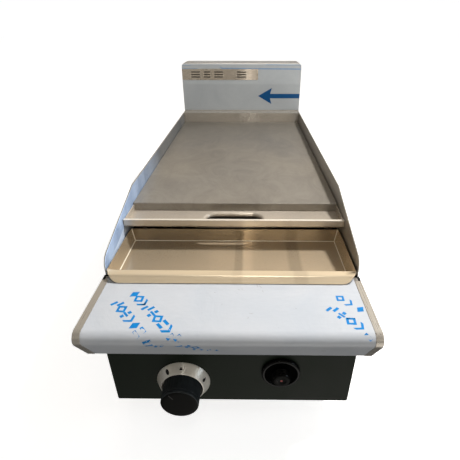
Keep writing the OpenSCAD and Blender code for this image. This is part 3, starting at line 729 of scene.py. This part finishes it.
# Plain figures that stand in for the film's printed words. None is a letter.
FRAME, CHEVRON, DASHES, DOTS, DIAMOND, STEPS = range(6)
FIGURES = [
    frame_shape(4, 0.54, 0.25),
    [[(-0.38, -0.5), (-0.12, -0.5), (0.3, 0.0), (0.04, 0.0)],
     [(0.04, 0.0), (0.3, 0.0), (-0.12, 0.5), (-0.38, 0.5)]],
    [bar_shape(0.66, 0.26, 0, 0.3), bar_shape(0.66, 0.26, 0, -0.3)],
    [bar_shape(0.30, 0.30, 0, 0.34), bar_shape(0.30, 0.30, 0, -0.34), bar_shape(0.62, 0.2)],
    [[(0, -0.5), (0.36, 0), (0, 0.5), (-0.36, 0)]],
    [bar_shape(0.25, 0.62, -0.24, 0.19), bar_shape(0.25, 0.62, 0.18, -0.19)],
]
PRINT_HALF = 142.0  # no figure reaches past this


def print_row(start, end, figures, size):
    """Outlines of a row of figures on the rail's film, from start to end, which are (x, y) points."""
    start, end = [Vector((x, RAIL_BACK - y)) for x, y in (start, end)]
    way = (end - start).normalized()
    side = Vector((-way.y, way.x))
    outlines = []
    for k, figure in enumerate(figures):
        centre = start.lerp(end, (k + 0.5) / len(figures))
        for outline in FIGURES[figure]:
            points = []
            for a, b in zip(outline, outline[1:] + outline[:1]):
                points += [Vector(a).lerp(Vector(b), t / 3) for t in range(3)]
            placed = [tuple(centre + size * (p.x * way + p.y * side)) for p in points]
            if max(abs(x) for x, _ in placed) < PRINT_HALF:
                outlines.append(placed)
    return outlines


rows = [
    ((-122, 50), (-82, 3), [STEPS, FRAME, DOTS, CHEVRON, DIAMOND, DASHES], 12.5),
    ((-108, 66), (-48, -2), [DIAMOND, FRAME, CHEVRON, STEPS, DOTS, FRAME, DASHES, CHEVRON, STEPS], 12.5),
    ((-82, -3), (-62, -13), [FRAME, STEPS], 11.0),
    ((-50, -6), (-28, -16), [CHEVRON, DOTS, FRAME], 10.0),
    ((-38, -22), (-8, -26), [DOTS, DIAMOND, STEPS, DOTS], 6.0),
    ((104, 44), (142, 2), [STEPS, DOTS, FRAME, CHEVRON, DASHES], 12.5),
    ((115, 62), (141, 36), [FRAME, CHEVRON, DIAMOND], 11.0),
]
figure_outlines = [outline for row in rows for outline in print_row(*row)]
raised("rail_film_print", "chassis", "protective_film", blue_ink, figure_outlines,
       FILM + 0.07, 0.03, rail.point, sharp=20)

# Small scuffs and specks on the film: x, y, length, width and turn in degrees.
dice = random.Random(11)
scuffs = []
for x, y, length, width, turn in [
        (30, 79, 7, 0.5, 70), (33.5, 77, 5.5, 0.45, 62), (13, 72, 3, 0.5, 80), (9.5, 71, 2.4, 0.4, 20),
        (-17, 66, 1.6, 0.4, 10), (23, 33, 4.5, 0.35, 5), (20, 27, 3, 0.4, 120), (70, 41, 2, 0.35, 40),
        (-28, -16.5, 2.6, 1.3, 5), (96, -24, 5, 1.2, 12), (36, 69, 5, 0.35, 78), (-8, 47, 2, 0.3, 150)]:
    centre = Vector((x, RAIL_BACK - y))
    way = Vector((math.cos(math.radians(turn)), math.sin(math.radians(turn))))
    side = Vector((-way.y, way.x))
    scuffs.append([tuple(centre + way * u + side * (v * dice.uniform(0.7, 1.2)))
                   for u, v in oval(length / 2, width / 2, 10)])
raised("rail_film_scuffs", "chassis", "protective_film", scuff_look, scuffs,
       FILM + 0.05, 0.03, rail.point, sharp=20)

# ---- grease tray ----

LIP_HALF, LIP_CORNER, LIP_FRONT, LIP_BACK = 144.6, 16, 80.6, 95.5
TRAY_TOP, TRAY_FLOOR = 174, 154
FLOOR_FRONT = 121  # the floor starts here, behind the lip's slope


def tray_half(y, z):
    """The lip's half width, held in by the round corners in front and by the walls' lean behind."""
    lean = LIP_HALF - max(0.0, TRAY_TOP - z) * 3 / 20 if y > LIP_BACK + 0.1 else LIP_HALF
    drop = LIP_FRONT + LIP_CORNER - y
    if drop > 0:
        return min(lean, LIP_HALF - LIP_CORNER + math.sqrt(max(0.0, LIP_CORNER**2 - drop**2)))
    return lean


def pressed_tray():
    """The tray's upper skin, with rounded folds."""
    work = bmesh.new()
    lip = [Vector((LIP_FRONT + 3.4 * k / 10, 166.4 + 5.4 * k / 10)) for k in range(10)]
    lip += fillet([(84, 171.8), (84.9, 173.3), (86.5, TRAY_TOP), (LIP_BACK, TRAY_TOP)], 3.0, 3)
    stations = [(tray_half(p.x, p.y), p.x, p.y) for p in lip]
    stations += [(141.6, FLOOR_FRONT, TRAY_FLOOR), (141.6, 193.6, TRAY_FLOOR), (144.3, 194.3, 172.8)]
    rows = [[work.verts.new(at(x * half, y, z)) for x in spaced(-1, 1, 24)] for half, y, z in stations]
    for a, b in zip(rows, rows[1:]):
        for j in range(len(a) - 1):
            work.faces.new((a[j], a[j + 1], b[j + 1], b[j]))
    for side, j in ((-1, 0), (1, -1)):
        notch = work.verts.new(at(side * 144.6, 184.5, TRAY_TOP))
        corner = work.verts.new(at(side * 144.5, 193.4, 173.0))
        work.faces.new([row[j] for row in rows[-4:]] + [corner, notch])
    bmesh.ops.recalc_face_normals(work, faces=work.faces)
    tops = {vert for row in rows[-4:-1] for vert in row}
    folds = [e for e in work.edges if len(e.link_faces) == 2 and tops & set(e.verts)
             and e.calc_face_angle(0) > math.radians(25)]
    made = bmesh.ops.bevel(work, geom=folds, offset=0.9 * MM, offset_type="OFFSET", segments=4,
                           profile=0.5, affect="EDGES", clamp_overlap=True)
    # The lower folds take the second look, the painted highlight lines.
    for face in made["faces"]:
        if face.calc_center_median().z < at(0, 0, 173.2).z:
            face.material_index = 1
    bmesh.ops.recalc_face_normals(work, faces=work.faces)
    mesh = bpy.data.meshes.new("tray")
    work.to_mesh(mesh)
    work.free()
    return mesh


tray_mesh = pressed_tray()
tray = bpy.data.objects.new("grease_tray_pressed", tray_mesh)
scene.collection.objects.link(tray)
thicken(tray)
round_edges(tray, 0.3, 60)
even_shading(tray)
for look in (tray_look, fold_highlight_look, lip_lit_look):
    tray_mesh.materials.append(look)
# The lip's faces take the lighter copy, as painted light.
for face in tray_mesh.polygons:
    if face.center.y < at(0, FLOOR_FRONT - 1.2, 0).y:
        face.material_index = 2
tray_mesh.shade_smooth()
tray_mesh.set_sharp_from_angle(angle=math.radians(40))
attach(tray, "grease_tray")
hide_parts("grease_tray")

# ---- trough ----

TROUGH_HALF, TROUGH_FLOOR, TROUGH_LIP = 146.5, 187.0, 197.5
SLOT_X, SLOT_Y, SLOT_HALF, SLOT_RADIUS = -1, 201.5, 39.5, 14.5


def slot_ring(grow, z):
    """The drain slot's outline, grown sideways."""
    radius, half = SLOT_RADIUS + grow, SLOT_HALF - SLOT_RADIUS
    points = []
    for a in around(96):
        x = radius * math.cos(a) + math.copysign(half, math.cos(a)) if abs(math.cos(a)) > 1e-6 else 0.0
        points.append((x + SLOT_X, SLOT_Y + radius * math.sin(a), z))
    return points


def rectangle_ring(x0, x1, y0, y1, z, ring, centre):
    """Points on a rectangle's edge, one for each point of a ring inside it, with its corners kept."""
    points = []
    for x, y, _ in ring:
        dx, dy = x - centre[0], y - centre[1]
        reach = min(((x1 if dx > 0 else x0) - centre[0]) / dx if abs(dx) > 1e-9 else 1e9,
                    ((y1 if dy > 0 else y0) - centre[1]) / dy if abs(dy) > 1e-9 else 1e9)
        points.append([centre[0] + dx * reach, centre[1] + dy * reach, z])
    for corner in ((x0, y0), (x0, y1), (x1, y0), (x1, y1)):
        nearest = min(points, key=lambda p: (p[0] - corner[0]) ** 2 + (p[1] - corner[1]) ** 2)
        nearest[0], nearest[1] = corner
    return points


def pressed_trough():
    """The upper skin of the floor, with its flanged drain slot."""
    flange = [(5.0, 0), (3.4, 0.05), (2.2, 0.35), (1.1, 1.05), (0.35, 2.1), (0.05, 3.4), (0.0, 4.0),
              (0.0, 5.7)]
    rings = [slot_ring(grow, TROUGH_FLOOR - drop) for grow, drop in flange]
    outer = rectangle_ring(-TROUGH_HALF, TROUGH_HALF, 180.4, 246, TROUGH_FLOOR, rings[0], (SLOT_X, SLOT_Y))
    middle = [tuple((a + b) / 2 for a, b in zip(p, q)) for p, q in zip(outer, rings[0])]
    verts = [at(*p) for ring in [outer, middle] + rings for p in ring]
    return verts, grid_faces(len(rings) + 2, len(outer), wrap_columns=True)


trough = piece("grease_trough_pressed", "chassis", "satin_steel", trough_look, *pressed_trough(),
               ["grease_trough"], sharp=50)
thicken(trough)
even_shading(trough)
# The lip: floor edge, fold, front wall and the hem turned back inwards.
lip_path = [Vector(p) for p in [(182, 185.8)] + arc((179.6, 190.4), 4.6, 270, 180, 8)]
lip_path += fillet([(175, 191.2), (175, TROUGH_LIP), (178.5, TROUGH_LIP)], 0.9, 4)
lip_shape = sheet_along_x(lip_path, -SHEET, spaced(-TROUGH_HALF, TROUGH_HALF, 40))
trough_lip = piece("grease_trough_lip", "chassis", "satin_steel", trough_look, *lip_shape,
                   bevel=0.3, bevel_angle=60)
# The top of the hem takes the painted highlight.
second_look(trough_lip, hem_highlight_look, lambda face: face.center.z > at(0, 0, TROUGH_LIP - 0.7).z)
end_outline = [(176.4, 190.4), (178.2, 187.4), (180.6, 186.6), (223.8, 186.6), (223.8, 195.7),
               (223.0, 196.5), (177.4, 196.5), (176.4, 195.5)]
for name, low_x in (("left", -TROUGH_HALF), ("right", TROUGH_HALF - SHEET)):
    verts = [at(x, y, z) for x in (low_x, low_x + SHEET) for y, z in end_outline]
    piece(f"grease_trough_end_{name}", "chassis", "satin_steel", trough_look, verts,
          prism_faces(len(end_outline)), bevel=0.3)

# ---- splashback film, its arrow and the badge ----

# Places on the splashback's face are (x, z).
face_path = [(743, 223), (743, 287), (746.2, 329)] + arc((752.2, 330), 6, 170, 128, 3)
face_steps = stepped([Vector(p) for p in face_path], 4)
splash = Skin(face_steps, [p.y for p in face_steps], 1)

arrow = [(42.6, 257.8), (77.6, 277.4), (73.6, 263.2), (149.4, 263.2), (149.4, 252.2), (73.6, 252.2),
         (77.6, 238.0)]
raised("splashback_film_arrow", "chassis", "protective_film", deep_ink, [arrow],
       FILM + 0.04, 0.03, splash.point, sharp=20)
lines = [
    [(-149.4, 323.2), (-108, 322.8), (-108, 321.2), (-149.4, 321.6)],
    [(-60.5, 332.0), (-49.5, 322.0), (149.4, 320.6), (149.4, 323.0), (-48.6, 324.4), (-57.5, 332.0)],
    [(-149.4, 331.0), (-126, 330.8), (-126, 329.8), (-149.4, 330.0)],
    [(60, 332.0), (149.4, 331.2), (149.4, 330.2), (60, 331.0)],
]
raised("splashback_film_lines", "chassis", "protective_film", pale_ink, lines,
       FILM + 0.04, 0.03, splash.point, sharp=20)

# Badge: a bare steel strip showing through a window in the film, with plain engraved blocks.
BADGE_LEFT, BADGE_RIGHT, BADGE_LOW, BADGE_HIGH = -149.2, 42, 296.4, 322
badge_outline = []
for x, z, radius, start in ((BADGE_RIGHT - 1.5, BADGE_LOW + 1.5, 1.5, -90),
                            (BADGE_RIGHT - 1.5, BADGE_HIGH - 1.5, 1.5, 0),
                            (BADGE_LEFT + 0.5, BADGE_HIGH - 0.5, 0.5, 90),
                            (BADGE_LEFT + 0.5, BADGE_LOW + 0.5, 0.5, 180)):
    badge_outline += arc((x, z), radius, start, start + 90, 4)
raised("badge_plate_strip", "chassis", "satin_steel", badge_look, [badge_outline],
       FILM + 0.16, 0.14, splash.point, replaces=["badge_plate"], sharp=20)
blocks = [bar_shape(width, 2.6, x, z) for x, width in ((-116, 22), (-87, 16), (-58, 22), (0, 22))
          for z in (303.2, 309.0, 314.8)]
raised("badge_plate_blocks", "chassis", "satin_steel", etched_look, blocks,
       FILM + 0.30, 0.03, splash.point, sharp=20)

# ---- knob, bezel and igniter ----

KNOB_FRONT, FLUTES, FLUTE_DEPTH = 19.0, 36, 0.16
OFF_MARK = math.radians(-35)
# The knob's profile: front, rounded rim, groove, flared side, and the hollow back round its hub.
knob_profile = [(r, KNOB_FRONT) for r in (0, 6, 12, 17)]
knob_profile += [(20.7, 19.05), (21.5, 19.3), (22.05, 19.7), (22.4, 20.2), (22.55, 21.0), (22.62, 23.4),
                 (22.4, 23.7), (22.4, 24.3), (22.66, 24.6)]
knob_profile += [(22.68 + 1.05 * k / 8, 25.0 + 20.4 * k / 8) for k in range(9)]
knob_profile += [(23.6, 46.2), (23.2, 46.4), (21.2, 46.4), (20.2, 31.0), (19.6, 30.2), (6.5, 30.2),
                 (6.5, 45.0), (4.15, 45.0), (4.15, 24.4), (0, 24.4)]


def knob_shape():
    """The knob's body with shallow grip flutes along its side."""
    verts = []
    for a in around(180):
        dip = FLUTE_DEPTH * (0.5 + 0.5 * math.cos(FLUTES * a))
        for r, y in knob_profile:
            fades = [min(1.0, max(0.0, reach / 2.5)) for reach in (y - 25.2, 44.9 - y)]
            if r > 21.9:
                r -= dip * fades[0] * fades[1]
            verts.append(at(KNOB_X + r * math.sin(a), y, KNOB_Z + r * math.cos(a)))
    return verts, grid_faces(180, len(knob_profile), wrap_rows=True)


def knob_front(u, v, lift):
    """A point on the knob's front: v along the off mark's direction from the middle, u across it."""
    x = KNOB_X + v * math.sin(OFF_MARK) + u * math.cos(OFF_MARK)
    z = KNOB_Z + v * math.cos(OFF_MARK) - u * math.sin(OFF_MARK)
    return at(x, KNOB_FRONT - lift, z)


def faces_front(face):
    return face.normal.y < -0.9


# The knob's side wears the lighter copy and its front the darker one: painted light and shade.
knob = piece("knob_moulded", "knob", "black_plastic", knob_flank_lit_look, *knob_shape(), ["knob"], sharp=50)
second_look(knob, front_shaded_look, faces_front)
raised("knob_line", "knob", "black_plastic", groove_look, [bar_shape(1.1, 8.0, 0, 16.0)],
       0.02, 0.05, knob_front, sharp=30)

# The bezel is a deep cone round the knob's back end. Its visible face starts at the mouth.
MOUTH_RADIUS, MOUTH_Y, BEZEL_SLOPE, BEZEL_BORE = 26.1, 41.1, 1.5, 25.0
bezel_profile = [(9.2, 52.2), (9.2, 50.8), (24.4, 50.8), (BEZEL_BORE, 50.2), (BEZEL_BORE, 41.5),
                 (25.1, 40.9), (25.4, 40.6), (25.8, 40.7), (MOUTH_RADIUS, MOUTH_Y), (29.0, 45.45),
                 (32.0, 49.95), (32.5, 50.8), (32.85, 51.5), (33.0, 52.2)]
piece("knob_bezel_spun", "chassis", "bezel_steel", bezel_look,
      *turned(bezel_profile, KNOB_X, KNOB_Z, 128, closed=True), ["knob_bezel"], sharp=50)


def bezel_face(u, v, lift):
    y = MOUTH_Y + BEZEL_SLOPE * (math.hypot(u, v) - MOUTH_RADIUS) - lift
    return at(KNOB_X + u, y, KNOB_Z + v)


def stretched(outline, width, height):
    return [(width * u, height * v) for u, v in outline]


def turned_outline(outline, radius, angle, upright=True):
    """An outline moved out from the knob's axis at an angle from the top, and turned too unless upright."""
    a = math.radians(angle)
    placed = []
    for u, v in outline:
        if not upright:
            u, v = u * math.cos(a) + v * math.sin(a), v * math.cos(a) - u * math.sin(a)
        placed.append((radius * math.sin(a) + u, radius * math.cos(a) + v))
    return placed


triangle = [(-1.9, -0.85), (1.9, -0.85), (0, 1.15)]
flame = [(0, 3.0), (0.9, 1.7), (1.7, 0.2), (1.7, -1.2), (0.9, -2.3), (0, -2.6), (-0.9, -2.3), (-1.5, -1.2),
         (-1.3, 0.1), (-0.5, 0.8), (-0.3, 1.9)]
marks = [turned_outline(oval(2.4, 1.7, 24), 29.2, -35),
         turned_outline(triangle, 29.5, 0),
         turned_outline(stretched(flame, 1.3, 0.6), 29.2, 67.5, upright=False),
         turned_outline(stretched(flame, 0.7, 0.35), 29.2, 180, upright=False)]
raised("knob_bezel_marks", "chassis", "bezel_steel", black_mark, [mark[::-1] for mark in marks],
       0.3, 0.26, bezel_face, sharp=30)

collar_profile = [(10.95, 52.2), (10.95, 50.2), (18.2, 50.1), (19.2, 49.9), (19.5, 49.4), (19.55, 48.2),
                  (19.9, 47.6), (20.6, 47.3), (21.9, 47.35), (22.9, 47.8), (23.4, 48.7), (23.5, 49.8),
                  (23.5, 52.2)]
RECESS_RADIUS = 19.3


def in_recess(face):
    """Whether a face of the collar lies inside its raised ring."""
    axis = at(IGN_X, 0, IGN_Z)
    return math.hypot(face.center.x - axis.x, face.center.z - axis.z) < RECESS_RADIUS * MM


collar = piece("igniter_collar", "chassis", "black_plastic", collar_look,
               *turned(collar_profile, IGN_X, IGN_Z, 128, closed=True), ["igniter_bezel"], sharp=50)
# Inside its ring the collar is painted near black, as shade in the recess.
second_look(collar, recess_shade_look, in_recess)
button_profile = [(0, 39.0), (4.6, 39.0), (5.0, 38.75), (5.6, 38.4), (6.4, 38.3), (8.6, 38.35), (9.6, 38.7),
                  (10.2, 39.4)]
for k in range(4):
    y = 40.2 + 2.2 * k
    button_profile += [(10.3, y), (10.72, y + 0.35), (10.72, y + 1.15), (10.3, y + 1.5)]
button_profile += [(10.3, 49.4), (10.75, 50.6), (10.78, 60), (10.78, 82.0), (10.4, 82.3), (0, 82.3)]
button = piece("igniter_button_ridged", "igniter_button", "black_plastic", button_look,
               *turned(button_profile, IGN_X, IGN_Z), replaces=["igniter_button"], sharp=50)
# The button's front takes the darker copy too, as painted shade.
second_look(button, front_shaded_look, faces_front)


def button_face(u, v, lift):
    return at(IGN_X + u, 38.95 - lift, IGN_Z + v)


raised("igniter_button_spot", "igniter_button", "black_plastic", red_mark, [oval(1.5, 1.5, 20)[::-1]],
       0.02, 0.06, button_face, sharp=30)

# ---- feet, rear screws and gas inlet ----


def threaded(low, high, radius, pitch, depth):
    """The outline of a thread's crests and roots along an axis."""
    made, z = [], low
    while z + pitch <= high:
        made += [(radius, z + 0.15 * pitch), (radius - depth, z + 0.45 * pitch),
                 (radius - depth, z + 0.6 * pitch), (radius, z + 0.9 * pitch)]
        z += pitch
    return made


def hexagon(place, across, hole, low, high, chamfer=1.0, sides=96):
    """A nut with chamfered corners, measured across them: place(angle, radius, height) is a point."""
    verts = []
    for a in around(sides):
        flat = across / 2 * math.cos(math.pi / 6) / math.cos(a % (math.pi / 3) - math.pi / 6)
        inner = min(flat, 0.45 * across)
        rows = [(hole, low), (inner, low), (flat, low + chamfer), (flat, high - chamfer), (inner, high),
                (hole, high)]
        verts += [place(a, r, h) for r, h in rows]
    return verts, grid_faces(sides, 6, wrap_rows=True, wrap_columns=True)


pad = [(0, -50.0), (18.6, -50.0), (19.5, -49.7), (20.0, -48.8), (20.0, -47.2), (19.6, -46.2), (18.4, -45.6),
       (14.0, -45.1), (0, -45.1)]
stem = [(0, -34.5), (5.3, -34.5)] + threaded(-33.5, 13.2, 6.0, 1.75, 0.75) + [(5.2, 14.0), (0, 14.0)]
for name, x, y in (("front_left", -115, 120), ("front_right", 115, 120),
                   ("rear_left", -115, 700), ("rear_right", 115, 700)):
    body = f"foot_{name}"
    nut = hexagon(lambda a, r, h: at(x + r * math.cos(a), y + r * math.sin(a), h), 24, 0.5, -45.2, -33.2)
    shapes = [upright(pad, x, y), upright(stem, x, y), nut]
    piece(body + "_turned", body, "bright_steel", bright, *several(shapes), replaces=[body], sharp=30)

SCREWS = [(x, z, 773.3) for x in (-138, 138) for z in (12, 80, 150)]
SCREWS += [(x, z, 797.7) for x in (-140, 0, 140) for z in (178, 310)]
HEAD_RADIUS, CROWN, RECESS_DEPTH = 4.2, 1.9, 0.9


def screw_head(x, z, y):
    """A low round head with a cross recess, standing on y."""
    rings = [0.01, 0.4, 0.8, 1.3, 1.8, 2.2, 2.35, 2.9, 3.4, 3.8, 4.05, HEAD_RADIUS, HEAD_RADIUS]
    verts = []
    for a in around(48):
        for i, r in enumerate(rings):
            crown = CROWN - 0.9 * (r / HEAD_RADIUS) ** 3 if i < len(rings) - 1 else 0.0
            off_arm = min(abs(math.sin(a)), abs(math.cos(a))) * r
            recess = RECESS_DEPTH if r < 2.3 and off_arm < 0.42 + 0.10 * (2.3 - r) else 0.0
            verts.append(at(x + r * math.sin(a), y + crown - recess, z + r * math.cos(a)))
    return verts, grid_faces(48, len(rings), wrap_rows=True)


piece("rear_screw_heads", "chassis", "casing_steel", bright, *several([screw_head(*s) for s in SCREWS]),
      replaces=["rear_screws"], sharp=35)

pipe = [(0, 762), (9.0, 762), (9.0, 773.5), (9.4, 773.5), (9.4, 783.4)]
pipe += threaded(783.6, 797.2, 10.45, 1.81, 0.9)
pipe += [(9.3, 798), (7.6, 798), (7.0, 797.4), (7.0, 764.2), (0, 764.2)]
nut = hexagon(lambda a, r, h: at(INLET_X + r * math.sin(a), h, INLET_Z + r * math.cos(a)),
              29, 9.2, 773.5, 783.0, 1.2)
piece("gas_inlet_threaded", "chassis", "brass", brass, *several([turned(pipe, INLET_X, INLET_Z), nut]),
      replaces=["gas_inlet"], sharp=35)

# ---- folded edges on the CAD pieces that stay ----

SOFT_EDGES = [
    "control_panel", "side_panel_left", "side_panel_right", "rear_panel", "front_rail",
    "rail_end_cap_left", "rail_end_cap_right", "griddle_plate", "guard_left", "guard_right",
    "rear_upstand", "splashback_panel", "splashback_back", "flue_grille", "base_pan", "tray_runners",
    "drain_chute", "foot_bushes", "gas_valve", "igniter_body", "firewall"]
for name in SOFT_EDGES:
    node = nodes[name]
    weld = node.modifiers.new("weld", "WELD")
    weld.merge_threshold = 1e-5
    round_edges(node, 0.8 if name == "griddle_plate" else 0.25, 50)
    even_shading(node)

# ---- floor and backdrop ----

FLOOR_REACH, BACKDROP_RADIUS = 60, 14  # in metres


def studio_piece(name, mesh, scale, detail, tones, glow, unseen_by, **surface):
    """A pale, softly glowing part of the studio, which some kinds of ray don't see."""
    made = bpy.data.objects.new(name, mesh)
    scene.collection.objects.link(made)
    look, g, shader = material(name, **surface)
    mottle = g.noise(g.place(), scale, detail=detail)
    join(g, shader, Base_Color=g.ramp(mottle, [(0.2, grey(tones[0])), (0.8, grey(tones[1]))]))
    shader.inputs["Emission Color"].default_value = (1, 1, 1, 1)
    shader.inputs["Emission Strength"].default_value = glow
    mesh.materials.append(look)
    for rays in unseen_by:
        setattr(made, "visible_" + rays, False)
    return made


floor_mesh = bpy.data.meshes.new("floor")
corners = [(x * FLOOR_REACH, y * FLOOR_REACH, 0) for x, y in ((-1, -1), (1, -1), (1, 1), (-1, 1))]
floor_mesh.from_pydata(corners, [], [(0, 1, 2, 3)])
floor = studio_piece("floor", floor_mesh, 3, 3, (0.80, 0.82), 0.75, ("diffuse", "glossy"),
                     specular=0.1, Roughness=0.9)
floor.location.z = cad_low[2]

# The backdrop is a plain dome far behind, seen only by the camera.
dome_mesh = bpy.data.meshes.new("backdrop")
work = bmesh.new()
bmesh.ops.create_uvsphere(work, u_segments=32, v_segments=16, radius=BACKDROP_RADIUS)
work.to_mesh(dome_mesh)
work.free()
dome = studio_piece("backdrop", dome_mesh, 0.02, 1, (0.02, 0.03), 1.0,
                    ("diffuse", "glossy", "transmission", "shadow"), specular=0.0, Roughness=1.0)

# ---- what the steel reflects ----

world = bpy.data.worlds.new("studio")
scene.world = world
world.use_nodes = True
world.node_tree.nodes.clear()
g = Graph(world.node_tree)
parts = g.add("ShaderNodeSeparateXYZ", {"Vector": g.add("ShaderNodeTexCoord").outputs["Generated"]}).outputs


def toward(axis, start, end, low=0.0, high=1.0):
    """Goes from low to high as the direction's part along an axis goes from start to end."""
    return g.spread(parts[axis], low, high, start, end)


def both(a, b):
    return g.math("MULTIPLY", a, b)


# Tones by height, darker on the viewer's side, with a pane low down there.
sky = g.ramp(toward("Z", -1, 1), [
    (0.0, grey(0.10)), (0.40, (0.16, 0.155, 0.15)), (0.49, (0.48, 0.49, 0.50)), (0.58, (0.46, 0.46, 0.45)),
    (0.70, (0.44, 0.395, 0.33)), (0.80, (0.44, 0.39, 0.32)), (0.85, (0.24, 0.21, 0.175)),
    (1.0, (0.15, 0.13, 0.11))])
sky = g.times(sky, g.ramp(toward("Y", -1, 1), [(0.0, grey(0.30)), (0.4, grey(0.45)), (0.85, grey(1))]))
pane = g.ramp(toward("Z", 0, 1), [
    (0.18, grey(0)), (0.26, (0.5, 0.47, 0.42)), (0.42, (0.5, 0.47, 0.42)), (0.47, grey(0))])
sky = g.mix(toward("Y", -0.6, -0.3, 1.0, 0.0), sky, g.plus(sky, pane))
# Bars across the upper half, which show in brushed steel as bands.
bars = g.ramp(toward("X", -0.5, 0.5), [
    (0.0, (0.85, 0.85, 0.87)), (0.20, grey(0.70)), (0.30, grey(1)), (0.40, (1.15, 1.1, 1.0)),
    (0.455, (1.1, 1.05, 1.0)), (0.463, grey(0.28)), (0.485, grey(0.28)), (0.494, (1.2, 1.15, 1.05)),
    (0.560, (1.0, 0.95, 0.88)), (0.570, (1.45, 1.35, 1.2)), (0.600, (1.45, 1.35, 1.2)),
    (0.612, (0.32, 0.36, 0.46)), (0.640, (0.36, 0.42, 0.55)), (0.65, grey(1.2)), (0.75, grey(1.35)),
    (1.0, grey(1.5))])
sky = g.times(sky, g.mix(toward("Z", -0.02, 0.05), grey(1), bars))
# A tall narrow lamp behind the viewer, and a bright patch low down on that side, to the right.
lamp = g.ramp(toward("X", -0.05, 0.05), [(0.42, grey(0)), (0.46, grey(1)), (0.54, grey(1)), (0.58, grey(0))])
lamp = g.times(lamp, g.ramp(toward("Z", 0, 1), [
    (0.0, grey(0.26)), (0.10, grey(0.26)), (0.20, grey(0)), (0.50, grey(0)), (0.53, grey(1))]))
ahead = both(toward("Y", -0.3, -0.1, 1.0, 0.0), toward("Z", -0.25, -0.1))
sky = g.mix(ahead, sky, g.plus(sky, g.times(lamp, (13.0, 12.4, 11.6))))
patch = g.ramp(toward("X", -1, 1), [
    (0.25, grey(0.1)), (0.42, (0.5, 0.48, 0.45)), (0.54, (1.25, 1.2, 1.12)), (0.8, (1.25, 1.2, 1.12)),
    (0.9, grey(0))])
low_ahead = both(toward("Z", -0.22, -0.08, 1.0, 0.0), toward("Y", -0.4, -0.2, 1.0, 0.0))
sky = g.mix(low_ahead, sky, g.plus(sky, patch))
# A lamp straight above, and a bright bar behind to the right: they draw thin lines along folds.
sky = g.mix(toward("Z", 0.988, 0.994), sky, (4.0, 3.85, 3.6))
bar = both(both(toward("X", 0.34, 0.38), toward("X", 0.52, 0.56, 1.0, 0.0)),
           both(toward("Y", 0.2, 0.3), toward("Z", 0.1, 0.2)))
sky = g.mix(bar, sky, grey(2.2))
background = g.add("ShaderNodeBackground", {"Color": sky, "Strength": 1.0})
g.add("ShaderNodeOutputWorld", {"Surface": background.outputs[0]})

# ---- lamps: places and sizes are in metres ----


def soft_light(name, place, aim, side, power, colour, shiny=True):
    """A square lamp: shiny ones show in reflections."""
    data = bpy.data.lights.new(name, "AREA")
    data.shape = "RECTANGLE"
    data.size = data.size_y = side
    data.energy = power
    data.color = colour
    light = bpy.data.objects.new(name, data)
    scene.collection.objects.link(light)
    light.location = place
    light.rotation_euler = (Vector(aim) - Vector(place)).to_track_quat("-Z", "Y").to_euler()
    light.visible_camera = False
    light.visible_glossy = shiny


soft_light("ceiling", (0.60, -0.10, 1.25), (0, -0.1, 0.15), 0.11, 19, (1.0, 0.97, 0.93), shiny=False)
soft_light("window", (2.2, -0.6, 1.0), (0, 0, 0.2), 0.9, 8, (0.72, 0.86, 1.0))
soft_light("glint", (0.25, -0.9, 1.7), (0, -0.3, 0.1), 0.3, 1.5, (1.0, 0.98, 0.95))
